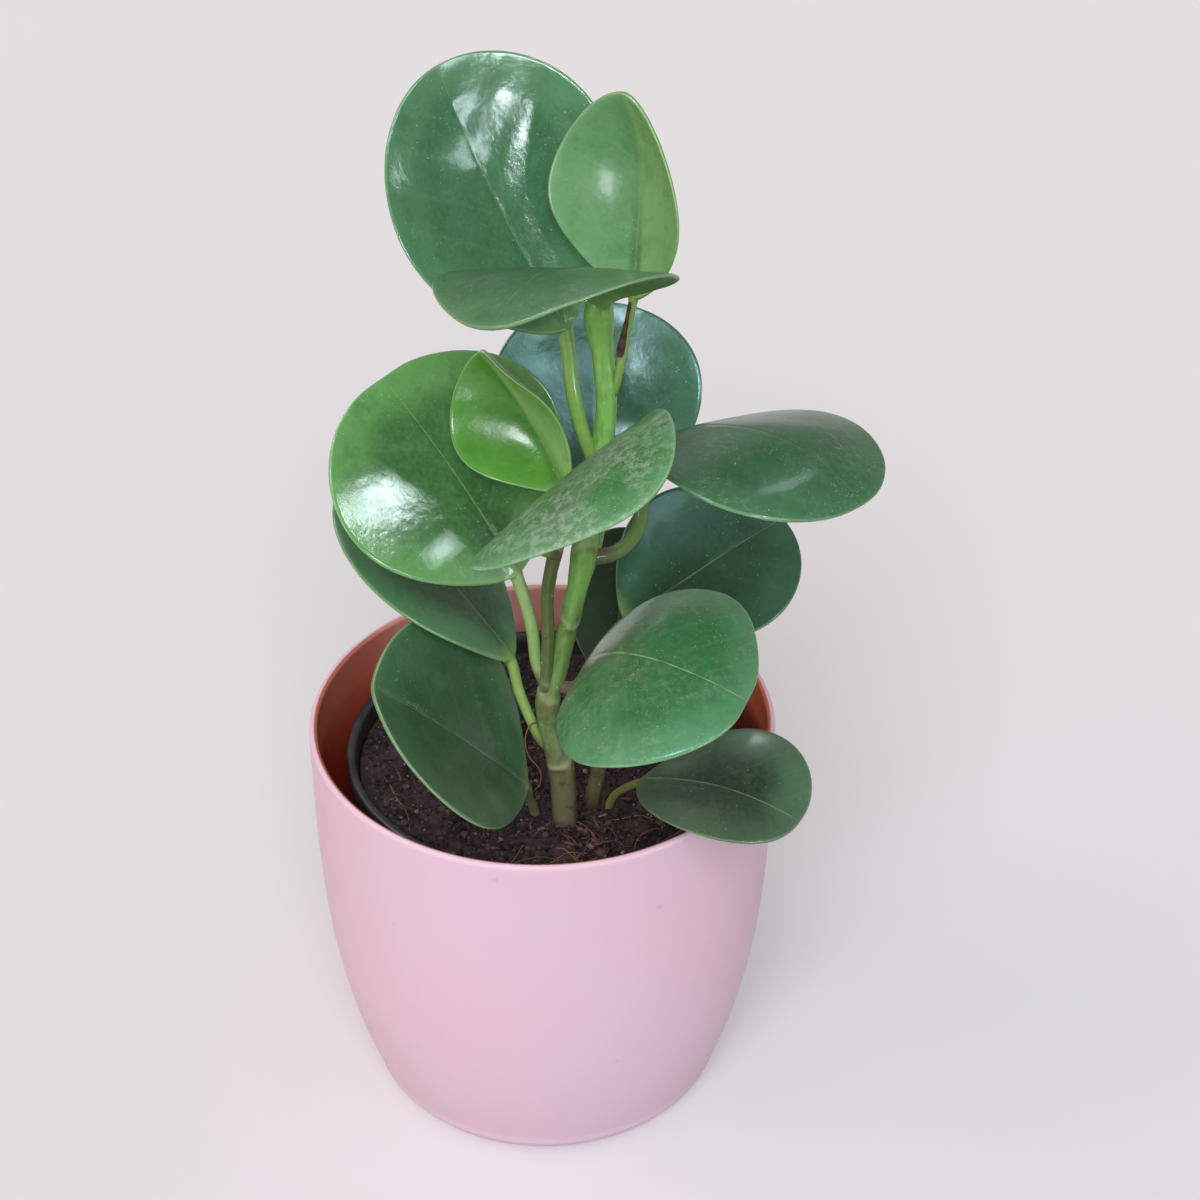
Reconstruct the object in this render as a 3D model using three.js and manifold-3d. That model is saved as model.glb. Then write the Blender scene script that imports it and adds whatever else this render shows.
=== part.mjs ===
// A potted peperomia: fourteen fleshy leaves on two upright stems, rooted in peat in a thin black
// nursery pot, which stands inside a taller bell-shaped cover pot.
// Units are millimetres and +Z is up. The origin is the centre of the cover pot's flat underside,
// +X is to the viewer's right and +Y is away from the viewer.
import * as THREE from "three";
import { mergeVertices } from "three/addons/utils/BufferGeometryUtils.js";
import Module from "manifold-3d";

// ---------------------------------------------------------------- driving dimensions
const CLEARANCE = 0.3; // air left between two pieces that touch

const COVER = {
  height: 129,
  rimRadius: 70,
  wall: 2.4,
  floor: 3,
  taper: 0.23, // how much narrower the foot is than the rim, as a share
  bell: 3.2, // the higher, the lower down the wall turns in
  footRound: 6,
  sides: 56,
};

const NURSERY = {
  rimHeight: 118,
  rimRadius: 59.5,
  footRadius: 43,
  wall: 1.1,
  lip: 1.6, // how far the rolled rim stands out
  lipHeight: 7,
  drainHoles: 6,
  drainRadius: 4,
  drainCircle: 28,
  sides: 48,
};

const SOIL = {
  surface: 112,
  relief: 1.3, // height of the lumps in the surface
  rings: 7,
  holeDepth: 16,
};

const BLADE = {
  thickness: 1.5,
  around: 28,
  ringRadius: [1, 0.972, 0.76, 0.42, 0], // from the margin to the middle
  ringHeight: [0, 0.72, 0.94, 1, 1], // share of half the thickness there
  baseTaper: 0.45, // how much narrower the foot of the blade is
  tipNotch: 1.5,
  notchAngle: 0.16,
  creaseSoftness: 0.1,
};

const STALK = { sides: 8, stepLength: 6 };
const STEM = { sides: 10, stepLength: 5 };

// The main stem leans a little to the right and away from the viewer as it climbs.
// Each row is a point on its axis and the radius there.
const MAIN_STEM = [
  { at: [7, -30, 100], radius: 3.6 },
  { at: [7, -30, 112], radius: 3.8 },
  { at: [6, -29, 131], radius: 3.7 },
  { at: [3, -28, 144], radius: 2.9 },
  { at: [2, -27, 154], radius: 3.2 },
  { at: [5, -26, 165], radius: 2.9 },
  { at: [8, -25, 179], radius: 2.8 },
  { at: [11, -24, 193], radius: 2.9 },
  { at: [13, -23, 204], radius: 3.7 },
  { at: [15, -21, 219], radius: 3.1 },
  { at: [18, -19, 235], radius: 2.9 },
  { at: [19, -17, 249], radius: 2.8 },
  { at: [18, -14, 262], radius: 3 },
  { at: [17, -12, 271], radius: 4.2 },
];

// A thin shoot that leaves the main stem at its second node and carries two leaves.
const LEFT_SHOOT = [
  { at: [2, -27, 156], radius: 1.8 },
  { at: [2, -28, 166], radius: 1.8 },
  { at: [2.6, -27.5, 178], radius: 1.75 },
  { at: [2.6, -27, 192], radius: 1.75 },
  { at: [4.5, -27, 204], radius: 1.9 },
  { at: [7, -26, 215], radius: 1.9 },
];

// A second, shorter stem from the soil, behind the main one.
const SIDE_STEM = [
  { at: [15, -20, 100], radius: 2.4 },
  { at: [15, -20, 112], radius: 2.4 },
  { at: [17, -18, 123], radius: 2.3 },
  { at: [18, -15, 135], radius: 2.2 },
  { at: [19, -12, 148], radius: 2 },
  { at: [21, -9, 158], radius: 1.8 },
];

// Angles are in degrees. azimuth is the compass direction of the midrib at its foot (0 is +X, 90 is
// +Y), rise is its slope there, and arch is how far the midrib turns down from foot to tip. roll turns
// the blade about its midrib. cup lifts both margins as a share of the half width, fold creases the
// blade along its midrib, twist turns the tip about the midrib, and egg makes the blade wider towards
// its tip. stalk holds the points that the leaf stalk passes before it meets the blade at base.
const LEAVES = [
  {
    name: "leaf_crown_left", base: [8, -8, 266], length: 78, width: 73,
    azimuth: 150, rise: 58, roll: -21, arch: -8, cup: 0.14, fold: 0.07, twist: 2, egg: 0.05,
    stalk: [[17, -20, 229], [13, -19, 239], [10, -16, 251]], stalkRadius: 2,
    color: 0x43684a, roughness: 0.3,
  },
  {
    name: "leaf_crown_young", base: [26, -13, 278], length: 57, width: 47,
    azimuth: 67, rise: 59, roll: -17, arch: -46, cup: 0.29, fold: 0.25, twist: -8, egg: -0.14,
    stalk: [[19, -17, 246], [22, -17, 256], [24, -15, 267]], stalkRadius: 1.2,
    color: 0x5a9a52, roughness: 0.3,
  },
  {
    name: "leaf_crown_front", base: [18, -14, 279], length: 70, width: 67,
    azimuth: -123, rise: 54, roll: 12, arch: 71, cup: -0.09, fold: 0.04, twist: 9, egg: -0.25,
    stalk: [[17, -12, 266], [17, -12.5, 273]], stalkRadius: 2.5,
    color: 0x517e52, roughness: 0.42,
  },
  {
    name: "leaf_back_upper", base: [17, -3, 201], length: 67, width: 61,
    azimuth: 91, rise: 45, roll: 2, arch: 12, cup: 0.1, fold: 0.05, twist: 0, egg: 0.08,
    stalk: [[12, -23, 194], [15, -12, 195]], stalkRadius: 2,
    color: 0x4d7765, roughness: 0.35,
  },
  {
    name: "leaf_left_large", base: [-6, -24, 197], length: 67, width: 78,
    azimuth: 155, rise: 60, roll: -23, arch: 24, cup: 0.07, fold: 0, twist: 3, egg: 0.04,
    stalk: [[3, -27, 158], [-0.5, -27, 168], [-2, -27, 182]], stalkRadius: 1.8,
    color: 0x52844f, roughness: 0.22,
  },
  {
    name: "leaf_left_young", base: [8, -29, 228], length: 46, width: 41,
    azimuth: 111, rise: 31, roll: -54, arch: -42, cup: 0.24, fold: 0.39, twist: -31, egg: 0.12,
    stalk: [[7, -26, 212], [7.5, -26.5, 220]], stalkRadius: 2.1,
    color: 0x65a05a, roughness: 0.22,
  },
  {
    name: "leaf_middle_front", base: [-3, -38.5, 218.5], length: 73, width: 69,
    azimuth: -65, rise: 71, roll: 19, arch: 69, cup: -0.13, fold: 0.04, twist: 21, egg: -0.25,
    stalk: [[5, -27, 206], [2, -32.5, 211]], stalkRadius: 1.7,
    color: 0x4c8a4b, roughness: 0.5,
  },
  {
    name: "leaf_right_upper", base: [28, -10.5, 229], length: 74, width: 82,
    azimuth: -12, rise: 43, roll: -24.5, arch: 86.5, cup: -0.05, fold: -0.09, twist: 10.5, egg: 0.07,
    stalk: [[13, -23, 202], [22, -20, 202], [28, -16.5, 208], [28.5, -13, 218]], stalkRadius: 2.2,
    color: 0x467c57, roughness: 0.4,
  },
  {
    name: "leaf_right_back", base: [25, -6, 168], length: 61, width: 55,
    azimuth: 35, rise: 18, roll: 23, arch: 16, cup: 0.07, fold: 0.02, twist: 2, egg: -0.1,
    stalk: [[20, -10, 152], [22, -8, 160]], stalkRadius: 1.7,
    color: 0x2b4c33, roughness: 0.35,
  },
  {
    name: "leaf_right_front", base: [13, -28, 166], length: 73, width: 70,
    azimuth: -88, rise: 58, roll: 59, arch: 103, cup: -0.28, fold: 0.07, twist: -22, egg: 0.12,
    stalk: [[4, -26, 160], [10, -27, 160]], stalkRadius: 1.8,
    color: 0x4d7c54, roughness: 0.38,
  },
  {
    name: "leaf_low_right", base: [29, -34, 131], length: 54, width: 48,
    azimuth: -33, rise: 32, roll: 4, arch: 49, cup: 0.1, fold: 0.06, twist: 1, egg: 0.12,
    stalk: [[20, -22, 101], [20, -22, 112], [22, -25, 119]], stalkRadius: 1.25,
    color: 0x41553f, roughness: 0.5,
  },
  {
    name: "leaf_left_under", base: [-8, -22, 166], length: 70, width: 63,
    azimuth: 143, rise: 44, roll: 19, arch: 16, cup: -0.1, fold: 0.04, twist: 1, egg: 0.12,
    stalk: [[4, -28, 137], [0, -27.5, 142], [-3, -26.5, 149], [-6, -24.5, 157]], stalkRadius: 1.6,
    color: 0x476547, roughness: 0.38,
  },
  {
    name: "leaf_low_left", base: [-4, -34, 129], length: 69, width: 64,
    azimuth: 212, rise: 53, roll: -41, arch: 12, cup: 0.07, fold: 0.21, twist: 6, egg: 0.13,
    stalk: [[-2, -25, 101], [-2, -25, 112], [-3.5, -29, 121]], stalkRadius: 1.5,
    color: 0x384835, roughness: 0.5,
  },
  {
    name: "leaf_back_low", base: [21, 0, 138], length: 50, width: 32,
    azimuth: 82, rise: 55, roll: 0, arch: 15, cup: 0.08, fold: 0.05, twist: 0, egg: 0.12,
    stalk: [[18, -16, 128], [19, -8, 131]], stalkRadius: 1.4,
    color: 0x2a3f2e, roughness: 0.4,
  },
];

const COLORS = { cover: 0xe8c7da, nursery: 0x372829, soil: 0x32282b, stem: 0x84b866, sideStem: 0x68684e };

// ---------------------------------------------------------------- solids
const wasm = await Module();
wasm.setup();

const radians = THREE.MathUtils.degToRad;
const vector = (p) => new THREE.Vector3(p[0], p[1], p[2]);

// A closed three.js geometry as a solid that can be joined and cut.
function solid(geometry) {
  const bare = geometry.clone();
  bare.deleteAttribute("normal");
  bare.deleteAttribute("uv");
  const merged = mergeVertices(bare, 1e-4);
  return new wasm.Manifold(
    new wasm.Mesh({
      numProp: 3,
      vertProperties: new Float32Array(merged.attributes.position.array),
      triVerts: new Uint32Array(merged.index.array),
    }),
  );
}

// A finished solid as a named mesh with its own material.
function mesh(name, body, color, roughness) {
  const data = body.getMesh();
  const geometry = new THREE.BufferGeometry();
  geometry.setAttribute("position", new THREE.BufferAttribute(new Float32Array(data.vertProperties), 3));
  geometry.setIndex(new THREE.BufferAttribute(new Uint32Array(data.triVerts), 1));
  geometry.computeVertexNormals();
  const material = new THREE.MeshStandardMaterial({ color, roughness, metalness: 0 });
  const made = new THREE.Mesh(geometry, material);
  made.name = name;
  return made;
}

// A solid of revolution about Z from a profile of [radius, height] points.
function turned(profile, sides) {
  const points = profile.map(([r, z]) => new THREE.Vector2(r, z));
  const geometry = new THREE.LatheGeometry(points, sides);
  geometry.rotateX(Math.PI / 2);
  return geometry;
}

// A tube along a curve whose radius changes: a unit tube, then each section is scaled about its centre.
function taperedTube(points, radii, { sides, stepLength }, extra = 0) {
  const path = new THREE.CatmullRomCurve3(points.map(vector), false, "centripetal");
  const steps = Math.max(3, Math.round(path.getLength() / stepLength));
  const section = new THREE.Shape();
  for (let i = 0; i < sides; i++) {
    const angle = (2 * Math.PI * i) / sides;
    if (i === 0) section.moveTo(Math.cos(angle), Math.sin(angle));
    else section.lineTo(Math.cos(angle), Math.sin(angle));
  }
  const geometry = new THREE.ExtrudeGeometry(section, { steps, extrudePath: path, bevelEnabled: false });
  const shares = points.map((_, i) => i / (points.length - 1));
  const centres = [];
  for (let i = 0; i <= steps; i++) {
    const t = path.getUtoTmapping(i / steps);
    centres.push({ at: path.getPointAt(i / steps), radius: blend(shares, radii, t) + extra });
  }
  const position = geometry.attributes.position;
  const corner = new THREE.Vector3();
  for (let i = 0; i < position.count; i++) {
    corner.fromBufferAttribute(position, i);
    const centre = centres.reduce((a, b) => (a.at.distanceTo(corner) < b.at.distanceTo(corner) ? a : b));
    corner.sub(centre.at).multiplyScalar(centre.radius).add(centre.at);
    position.setXYZ(i, corner.x, corner.y, corner.z);
  }
  return geometry;
}

// Straight-line interpolation in a rising list.
function blend(keys, values, t) {
  const next = keys.findIndex((key) => key >= t);
  if (next <= 0) return values[next < 0 ? values.length - 1 : 0];
  const share = (t - keys[next - 1]) / (keys[next] - keys[next - 1]);
  return values[next - 1] + share * (values[next] - values[next - 1]);
}

// ---------------------------------------------------------------- pots and soil
const bellRadius = (z) => COVER.rimRadius * (1 - COVER.taper * (1 - z / COVER.height) ** COVER.bell);

function coverPotProfile() {
  const { height, wall, floor, footRound } = COVER;
  const profile = [[0, 0]];
  const cornerX = bellRadius(footRound) - footRound;
  for (let i = 0; i <= 4; i++) {
    const angle = (i / 4) * (Math.PI / 2);
    profile.push([cornerX + footRound * Math.sin(angle), footRound * (1 - Math.cos(angle))]);
  }
  const outer = [14, 24, 36, 50, 68, 90, height - wall / 2];
  outer.forEach((z) => profile.push([bellRadius(z), z]));
  profile.push([bellRadius(height) - wall * 0.2, height - wall * 0.15]);
  profile.push([bellRadius(height) - wall / 2, height]);
  profile.push([bellRadius(height) - wall * 0.8, height - wall * 0.15]);
  outer.reverse().forEach((z) => profile.push([bellRadius(z) - wall, z]));
  profile.push([bellRadius(footRound) - wall - 1, footRound + 1]);
  profile.push([bellRadius(footRound) - wall - 4, floor]);
  profile.push([0, floor]);
  return profile;
}

const nurseryBase = COVER.floor + CLEARANCE;
const nurseryRadius = (z) => {
  const share = (z - nurseryBase) / (NURSERY.rimHeight - nurseryBase);
  return NURSERY.footRadius + share * (NURSERY.rimRadius - NURSERY.lip - NURSERY.footRadius);
};

function nurseryPot() {
  const { rimHeight, rimRadius, lip, lipHeight, wall, drainHoles, drainRadius, drainCircle } = NURSERY;
  const profile = [
    [0, nurseryBase],
    [nurseryRadius(nurseryBase), nurseryBase],
    [nurseryRadius(rimHeight - lipHeight), rimHeight - lipHeight],
    [rimRadius - 0.3, rimHeight - lipHeight + 0.6],
    [rimRadius, rimHeight - 0.8],
    [rimRadius - 0.6, rimHeight],
    [nurseryRadius(rimHeight) - wall + 0.5, rimHeight],
    [nurseryRadius(rimHeight) - wall, rimHeight - 0.8],
    [nurseryRadius(nurseryBase + wall) - wall, nurseryBase + wall],
    [0, nurseryBase + wall],
  ];
  let pot = solid(turned(profile, NURSERY.sides));
  for (let i = 0; i < drainHoles; i++) {
    const angle = (2 * Math.PI * i) / drainHoles;
    const drill = new THREE.CylinderGeometry(drainRadius, drainRadius, 6, 12);
    drill.rotateX(Math.PI / 2);
    drill.translate(drainCircle * Math.cos(angle), drainCircle * Math.sin(angle), nurseryBase + wall / 2);
    pot = pot.subtract(solid(drill));
  }
  return pot;
}

// Lumps in the peat: a sum of slow waves that dies away at the wall of the pot.
function soilRelief(x, y, edge) {
  const broad = Math.sin(x * 0.21 + 0.6) * Math.cos(y * 0.17 - 0.4);
  const narrow = 0.6 * Math.sin(x * 0.11 - y * 0.31 + 1.9);
  const calm = 1 - Math.min(1, Math.hypot(x, y) / edge) ** 6;
  return SOIL.relief * (broad + narrow) * calm;
}

function soilBody() {
  const inset = NURSERY.wall + CLEARANCE;
  const edge = nurseryRadius(SOIL.surface) - inset;
  const bottom = nurseryBase + NURSERY.wall + CLEARANCE;
  const profile = [
    [0, bottom],
    [nurseryRadius(bottom) - inset, bottom],
  ];
  for (let i = 0; i <= SOIL.rings; i++) profile.push([edge * (1 - i / SOIL.rings), SOIL.surface]);
  const geometry = turned(profile, 32);
  const position = geometry.attributes.position;
  for (let i = 0; i < position.count; i++) {
    if (position.getZ(i) < SOIL.surface - 1) continue;
    position.setZ(i, SOIL.surface + soilRelief(position.getX(i), position.getY(i), edge));
  }
  return solid(geometry);
}

// ---------------------------------------------------------------- leaves and stems
// A point of the blade in the leaf's own frame: x runs along the midrib and y across it on the flat
// blade, height is measured from the middle of its thickness along its normal.
function bladePoint(leaf, x, y, height) {
  const arch = radians(leaf.arch) || 1e-3;
  const half = leaf.width / 2;
  const turn = (arch * x) / leaf.length;
  const soft = BLADE.creaseSoftness;
  const crease = Math.sqrt((y / half) ** 2 + soft ** 2) - soft;
  const lift = half * (leaf.cup * (y / half) ** 2 + leaf.fold * crease) + height;
  const twist = (radians(leaf.twist) * x) / leaf.length;
  const across = y * Math.cos(twist) - lift * Math.sin(twist);
  const up = y * Math.sin(twist) + lift * Math.cos(twist);
  return new THREE.Vector3(
    (leaf.length * Math.sin(turn)) / arch + up * Math.sin(turn),
    across,
    (-leaf.length * (1 - Math.cos(turn))) / arch + up * Math.cos(turn),
  );
}

// The leaf's own frame set at its place on the plant.
function leafFrame(leaf) {
  const euler = new THREE.Euler(radians(leaf.roll), -radians(leaf.rise), radians(leaf.azimuth), "ZYX");
  return new THREE.Matrix4().makeRotationFromEuler(euler).setPosition(...leaf.base);
}

// The flat outline of a blade, as a closed curve of the angle round it: 0 at the foot, pi at the tip.
function outline(leaf, angle) {
  const { baseTaper, tipNotch, notchAngle } = BLADE;
  const wide = (1 - leaf.egg * Math.cos(angle)) / (1 + 0.35 * leaf.egg ** 2);
  const narrow = 1 - baseTaper * ((1 + Math.cos(angle)) / 2) ** 4;
  const notch = tipNotch * Math.exp(-(((angle - Math.PI) / notchAngle) ** 2));
  return [
    (leaf.length * (1 - Math.cos(angle))) / 2 - notch,
    -(leaf.width / 2) * Math.sin(angle) * wide * narrow,
  ];
}

// A blade is a sphere pressed flat: its poles are the middles of the two faces, its equator is the margin.
function blade(leaf) {
  const { around, ringRadius, ringHeight, thickness } = BLADE;
  const middle = ringRadius.length - 1;
  const geometry = new THREE.SphereGeometry(1, around, 2 * middle);
  const position = geometry.attributes.position;
  for (let i = 0; i < position.count; i++) {
    const ring = Math.floor(i / (around + 1));
    const spoke = (i % (around + 1)) % around;
    const inward = Math.abs(middle - ring);
    const [edgeX, edgeY] = outline(leaf, (2 * Math.PI * spoke) / around);
    const centreX = leaf.length / 2;
    const x = centreX + (edgeX - centreX) * ringRadius[inward];
    const height = (thickness / 2) * ringHeight[inward] * Math.sign(middle - ring);
    const point = bladePoint(leaf, x, edgeY * ringRadius[inward], height);
    position.setXYZ(i, point.x, point.y, point.z);
  }
  geometry.applyMatrix4(leafFrame(leaf));
  return geometry;
}

// The stalk runs on under the blade for a short way, as the root of its midrib.
function stalk(leaf) {
  const frame = leafFrame(leaf);
  const under = (x, depth) => bladePoint(leaf, x, 0, -depth).applyMatrix4(frame).toArray();
  const points = [...leaf.stalk, under(0, 0.3), under(5, 0.5), under(leaf.length * 0.2, 0.6)];
  const radii = points.map(() => leaf.stalkRadius);
  radii[radii.length - 2] = leaf.stalkRadius * 0.85;
  radii[radii.length - 1] = leaf.stalkRadius * 0.4;
  return taperedTube(points, radii, STALK);
}

const stemTube = (rows, extra = 0) =>
  taperedTube(rows.map((row) => row.at), rows.map((row) => row.radius), STEM, extra);

const mainStem = solid(stemTube(MAIN_STEM)).add(solid(stemTube(LEFT_SHOOT)));
const mainStemRoom = solid(stemTube(MAIN_STEM, CLEARANCE)).add(solid(stemTube(LEFT_SHOOT, CLEARANCE)));
const sideStem = solid(stemTube(SIDE_STEM));
const sideStemRoom = solid(stemTube(SIDE_STEM, CLEARANCE));

// A plain round hole in the soil for what stands in it.
function plantingHole(at, radius) {
  const hole = new THREE.CylinderGeometry(radius + CLEARANCE, radius + CLEARANCE, 2 * SOIL.holeDepth, 12);
  hole.rotateX(Math.PI / 2);
  hole.translate(at[0], at[1], SOIL.surface);
  return solid(hole);
}

const rooted = LEAVES.filter((leaf) => leaf.stalk[0][2] < SOIL.surface);
const feet = [
  { at: MAIN_STEM[0].at, radius: MAIN_STEM[1].radius },
  { at: SIDE_STEM[0].at, radius: SIDE_STEM[1].radius },
  ...rooted.map((leaf) => ({ at: leaf.stalk[0], radius: leaf.stalkRadius })),
];

let soil = soilBody();
for (const foot of feet) soil = soil.subtract(plantingHole(foot.at, foot.radius));

const plant = new THREE.Group();
plant.add(mesh("cover_pot", solid(turned(coverPotProfile(), COVER.sides)), COLORS.cover, 0.5));
plant.add(mesh("nursery_pot", nurseryPot(), COLORS.nursery, 0.45));
plant.add(mesh("soil", soil, COLORS.soil, 1));
plant.add(mesh("main_stem", mainStem, COLORS.stem, 0.45));
plant.add(mesh("side_stem", sideStem, COLORS.sideStem, 0.5));
for (const leaf of LEAVES) {
  const whole = solid(blade(leaf)).add(solid(stalk(leaf)));
  const clear = whole.subtract(mainStemRoom).subtract(sideStemRoom);
  const pieces = clear.decompose().sort((a, b) => b.volume() - a.volume());
  plant.add(mesh(leaf.name, pieces[0], leaf.color, leaf.roughness));
}

export default plant;
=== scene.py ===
# %% [markdown]
# # A potted peperomia
# A peperomia is a small house plant with thick, waxy, almost round leaves on fleshy green stems.
# This one stands in peat in a thin black nursery pot, inside a taller bell-shaped pink cover pot.
#
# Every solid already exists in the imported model, with few faces and no surface detail. That model
# is the fixed frame. This lesson replaces each solid by a finer mesh of the same form and then
# gives it its finish: the veins, the gloss, the dust, the scars and the loose bits on the peat.
# All measures are written in millimetres and are turned into metres when a mesh is made.

# %% Load the fixed frame
import math

import bpy
import numpy as np
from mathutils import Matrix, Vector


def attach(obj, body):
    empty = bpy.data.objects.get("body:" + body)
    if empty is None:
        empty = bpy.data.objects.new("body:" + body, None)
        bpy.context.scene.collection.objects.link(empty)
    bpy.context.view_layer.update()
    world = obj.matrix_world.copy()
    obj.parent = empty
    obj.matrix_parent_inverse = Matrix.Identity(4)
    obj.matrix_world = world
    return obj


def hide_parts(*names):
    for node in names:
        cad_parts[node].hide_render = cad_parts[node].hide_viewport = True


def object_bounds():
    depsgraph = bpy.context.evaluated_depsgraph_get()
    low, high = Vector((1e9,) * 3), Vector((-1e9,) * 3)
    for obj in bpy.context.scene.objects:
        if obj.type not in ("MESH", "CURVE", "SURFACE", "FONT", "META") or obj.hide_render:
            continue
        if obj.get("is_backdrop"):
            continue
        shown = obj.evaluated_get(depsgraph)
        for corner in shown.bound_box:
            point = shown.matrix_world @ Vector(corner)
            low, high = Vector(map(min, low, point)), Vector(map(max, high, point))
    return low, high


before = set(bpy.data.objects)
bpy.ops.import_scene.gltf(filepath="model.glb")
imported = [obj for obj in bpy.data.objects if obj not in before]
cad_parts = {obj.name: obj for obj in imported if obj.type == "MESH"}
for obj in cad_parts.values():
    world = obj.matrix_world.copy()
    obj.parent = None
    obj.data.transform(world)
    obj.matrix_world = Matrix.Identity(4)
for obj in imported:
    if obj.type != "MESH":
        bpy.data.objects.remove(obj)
cad_low, cad_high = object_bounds()
MM = 0.001
print("the frame holds", len(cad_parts), "solids")
print("its box in mm:", [round(v / MM) for v in cad_low], [round(v / MM) for v in cad_high])

# %% [markdown]
# ## The camera
# The photograph looks down on the plant at about 35 degrees. The place and the focal length were
# found by matching the ellipse of the pot's rim and the pot's side outline, so a long lens from
# almost 90 cm away is right, with no shift and no blur.

# %% Place the camera
CAMERA_PLACE = (17.3, -634.0, 617.0)
CAMERA_PITCH = 35.1
FOCAL_LENGTH, SENSOR_WIDTH = 79.68, 36.0
NEAREST, FARTHEST = 0.01, 50


def add_object(name, data):
    """An object for that data, put into the scene."""
    made = bpy.data.objects.new(name, data)
    bpy.context.scene.collection.objects.link(made)
    return made


lens = bpy.data.cameras.new("camera")
lens.lens, lens.sensor_width = FOCAL_LENGTH, SENSOR_WIDTH
lens.clip_start, lens.clip_end = NEAREST, FARTHEST
camera = add_object("camera", lens)
camera.location = [v * MM for v in CAMERA_PLACE]
camera.rotation_euler = (math.radians(90 - CAMERA_PITCH), 0, 0)
bpy.context.scene.camera = camera
print("the camera is", round(camera.location.length, 3), "m from the origin")

# %% [markdown]
# ## Soft studio light
# The leaves are glossy, so the light is also what is seen in them. The photograph has two kinds: a
# broad pale light from the front left, which models the pot and falls off to its right, and small
# bright windows, whose bluish-white patches lie on the leaves. A sun lamp with a wide angle is the
# broad light, because it lights the floor evenly. It is hidden from mirror rays, or it would lay a
# grey haze on every leaf that faces the camera. A panel stands for each window where the leaf's
# surface mirrors the camera. Panels are hidden from diffuse rays, so that patches and general
# brightness can be set one by one. All directions are seen from the middle of the plant: azimuth
# 0 is the camera's side and 90 is the right.

# %% Hang the lights
PLANT_MIDDLE = (10, -20, 200)
BROAD_LIGHTS = {
    # name: azimuth, elevation, angle across in degrees, strength, colour
    "broad_front": (-5, 42, 40, 2.14, (0.98, 1.0, 1.09)),
    "broad_left": (-84, 24, 50, 0.58, (1.0, 0.60, 0.24)),
}
BROAD_DISTANCE = 2.0
PALE_BLUE, COOL_WHITE, SKY_BLUE = (0.84, 0.94, 1.0), (0.78, 0.91, 1.0), (0.76, 0.90, 1.0)
PANEL_DISTANCE = 3.0
WINDOWS = {
    # name: azimuth, elevation, degrees wide, degrees high, brightness, colour
    "pane_mid_right": (64, 15.5, 7, 5, 24.0, COOL_WHITE),
    "pane_front_right": (47, 16.5, 11, 9, 40.0, PALE_BLUE),
    "pane_high_right": (84, 38.5, 9, 8, 36.0, (0.80, 0.92, 1.0)),
    "pane_side_right": (118, 5, 6, 6, 14.0, SKY_BLUE),
    "pane_back_right": (140, 38, 5, 5, 8.0, COOL_WHITE),
    "pane_low_left": (-34, 3, 7, 10, 20.0, (0.88, 0.95, 1.0)),
    "pane_high_left": (-54, 22, 5, 8, 34.0, (0.90, 0.96, 1.0)),
    "pane_back_left": (-108, 57, 5, 7, 44.0, PALE_BLUE),
    "pane_far_back": (-142, 60, 4, 6, 36.0, PALE_BLUE),
    "pane_top": (-17, 72, 3, 14, 60.0, (0.66, 0.88, 1.0)),
    "glow_high_right": (72, 67, 12, 10, 5.0, (0.45, 0.9, 0.95)),
    "glow_top": (0, 76, 44, 15, 4.0, (0.50, 0.84, 1.0)),
    "glow_back_left": (-116, 56, 30, 26, 2.6, (0.82, 0.93, 1.0)),
    "glow_back": (-165, 17, 56, 18, 0.3, (0.92, 0.96, 1.0)),
}
# two leaves show a bright patch in the photograph where another leaf of this model hides the
# windows from them, so a small card hangs close to each; place in mm and distance in m come first
LOW_PATCH, HIGH_PATCH = (-26, -32, 210), (-18, 3, 311)
CARDS = {
    "card_low": (LOW_PATCH, 0.014, (78, 25, 38, 30, 4.5, COOL_WHITE)),
    "card_low_core": (LOW_PATCH, 0.0138, (78, 25, 22, 16, 6.5, COOL_WHITE)),
    "card_high": (HIGH_PATCH, 0.016, (81, 15, 12, 20, 8.0, SKY_BLUE)),
}
ROOM_COLOUR = (0.97, 0.95, 0.95, 1)
ROOM_STRENGTH, MIRRORED_STRENGTH = 0.45, 0.22
BACKDROP = (0.768, 0.737, 0.730, 1)


def stand_at(lamp, azimuth, elevation, distance, middle=PLANT_MIDDLE):
    """Places a light in a direction from a point, the middle of the plant, and aims it there."""
    light = add_object(lamp.name, lamp)
    a, e = math.radians(azimuth), math.radians(elevation)
    away = np.array([math.sin(a) * math.cos(e), -math.cos(a) * math.cos(e), math.sin(e)])
    light.location = np.array(middle) * MM + away * distance
    light.rotation_euler = (math.pi / 2 - e, 0, a)
    return light


def hang_panel(name, middle, distance, row):
    """A bright rectangle that only mirror rays see, sized by the degrees that it spans."""
    azimuth, elevation, wide, high, brightness, colour = row
    lamp = bpy.data.lights.new(name, "AREA")
    lamp.shape = "RECTANGLE"
    lamp.size, lamp.size_y = (2 * distance * math.tan(math.radians(v / 2)) for v in (wide, high))
    lamp.energy, lamp.color = brightness * math.pi * lamp.size * lamp.size_y, colour
    panel = stand_at(lamp, azimuth, elevation, distance, middle)
    panel.visible_diffuse = panel.visible_camera = False


for name, (azimuth, elevation, angle, strength, colour) in BROAD_LIGHTS.items():
    lamp = bpy.data.lights.new(name, "SUN")
    lamp.angle, lamp.energy, lamp.color = math.radians(angle), strength, colour
    stand_at(lamp, azimuth, elevation, BROAD_DISTANCE).visible_glossy = False
for name, row in WINDOWS.items():
    hang_panel(name, PLANT_MIDDLE, PANEL_DISTANCE, row)
for name, (middle, distance, row) in CARDS.items():
    hang_panel(name, middle, distance, row)
print(len(BROAD_LIGHTS), "broad lights,", len(WINDOWS), "windows and", len(CARDS), "cards")

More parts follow.
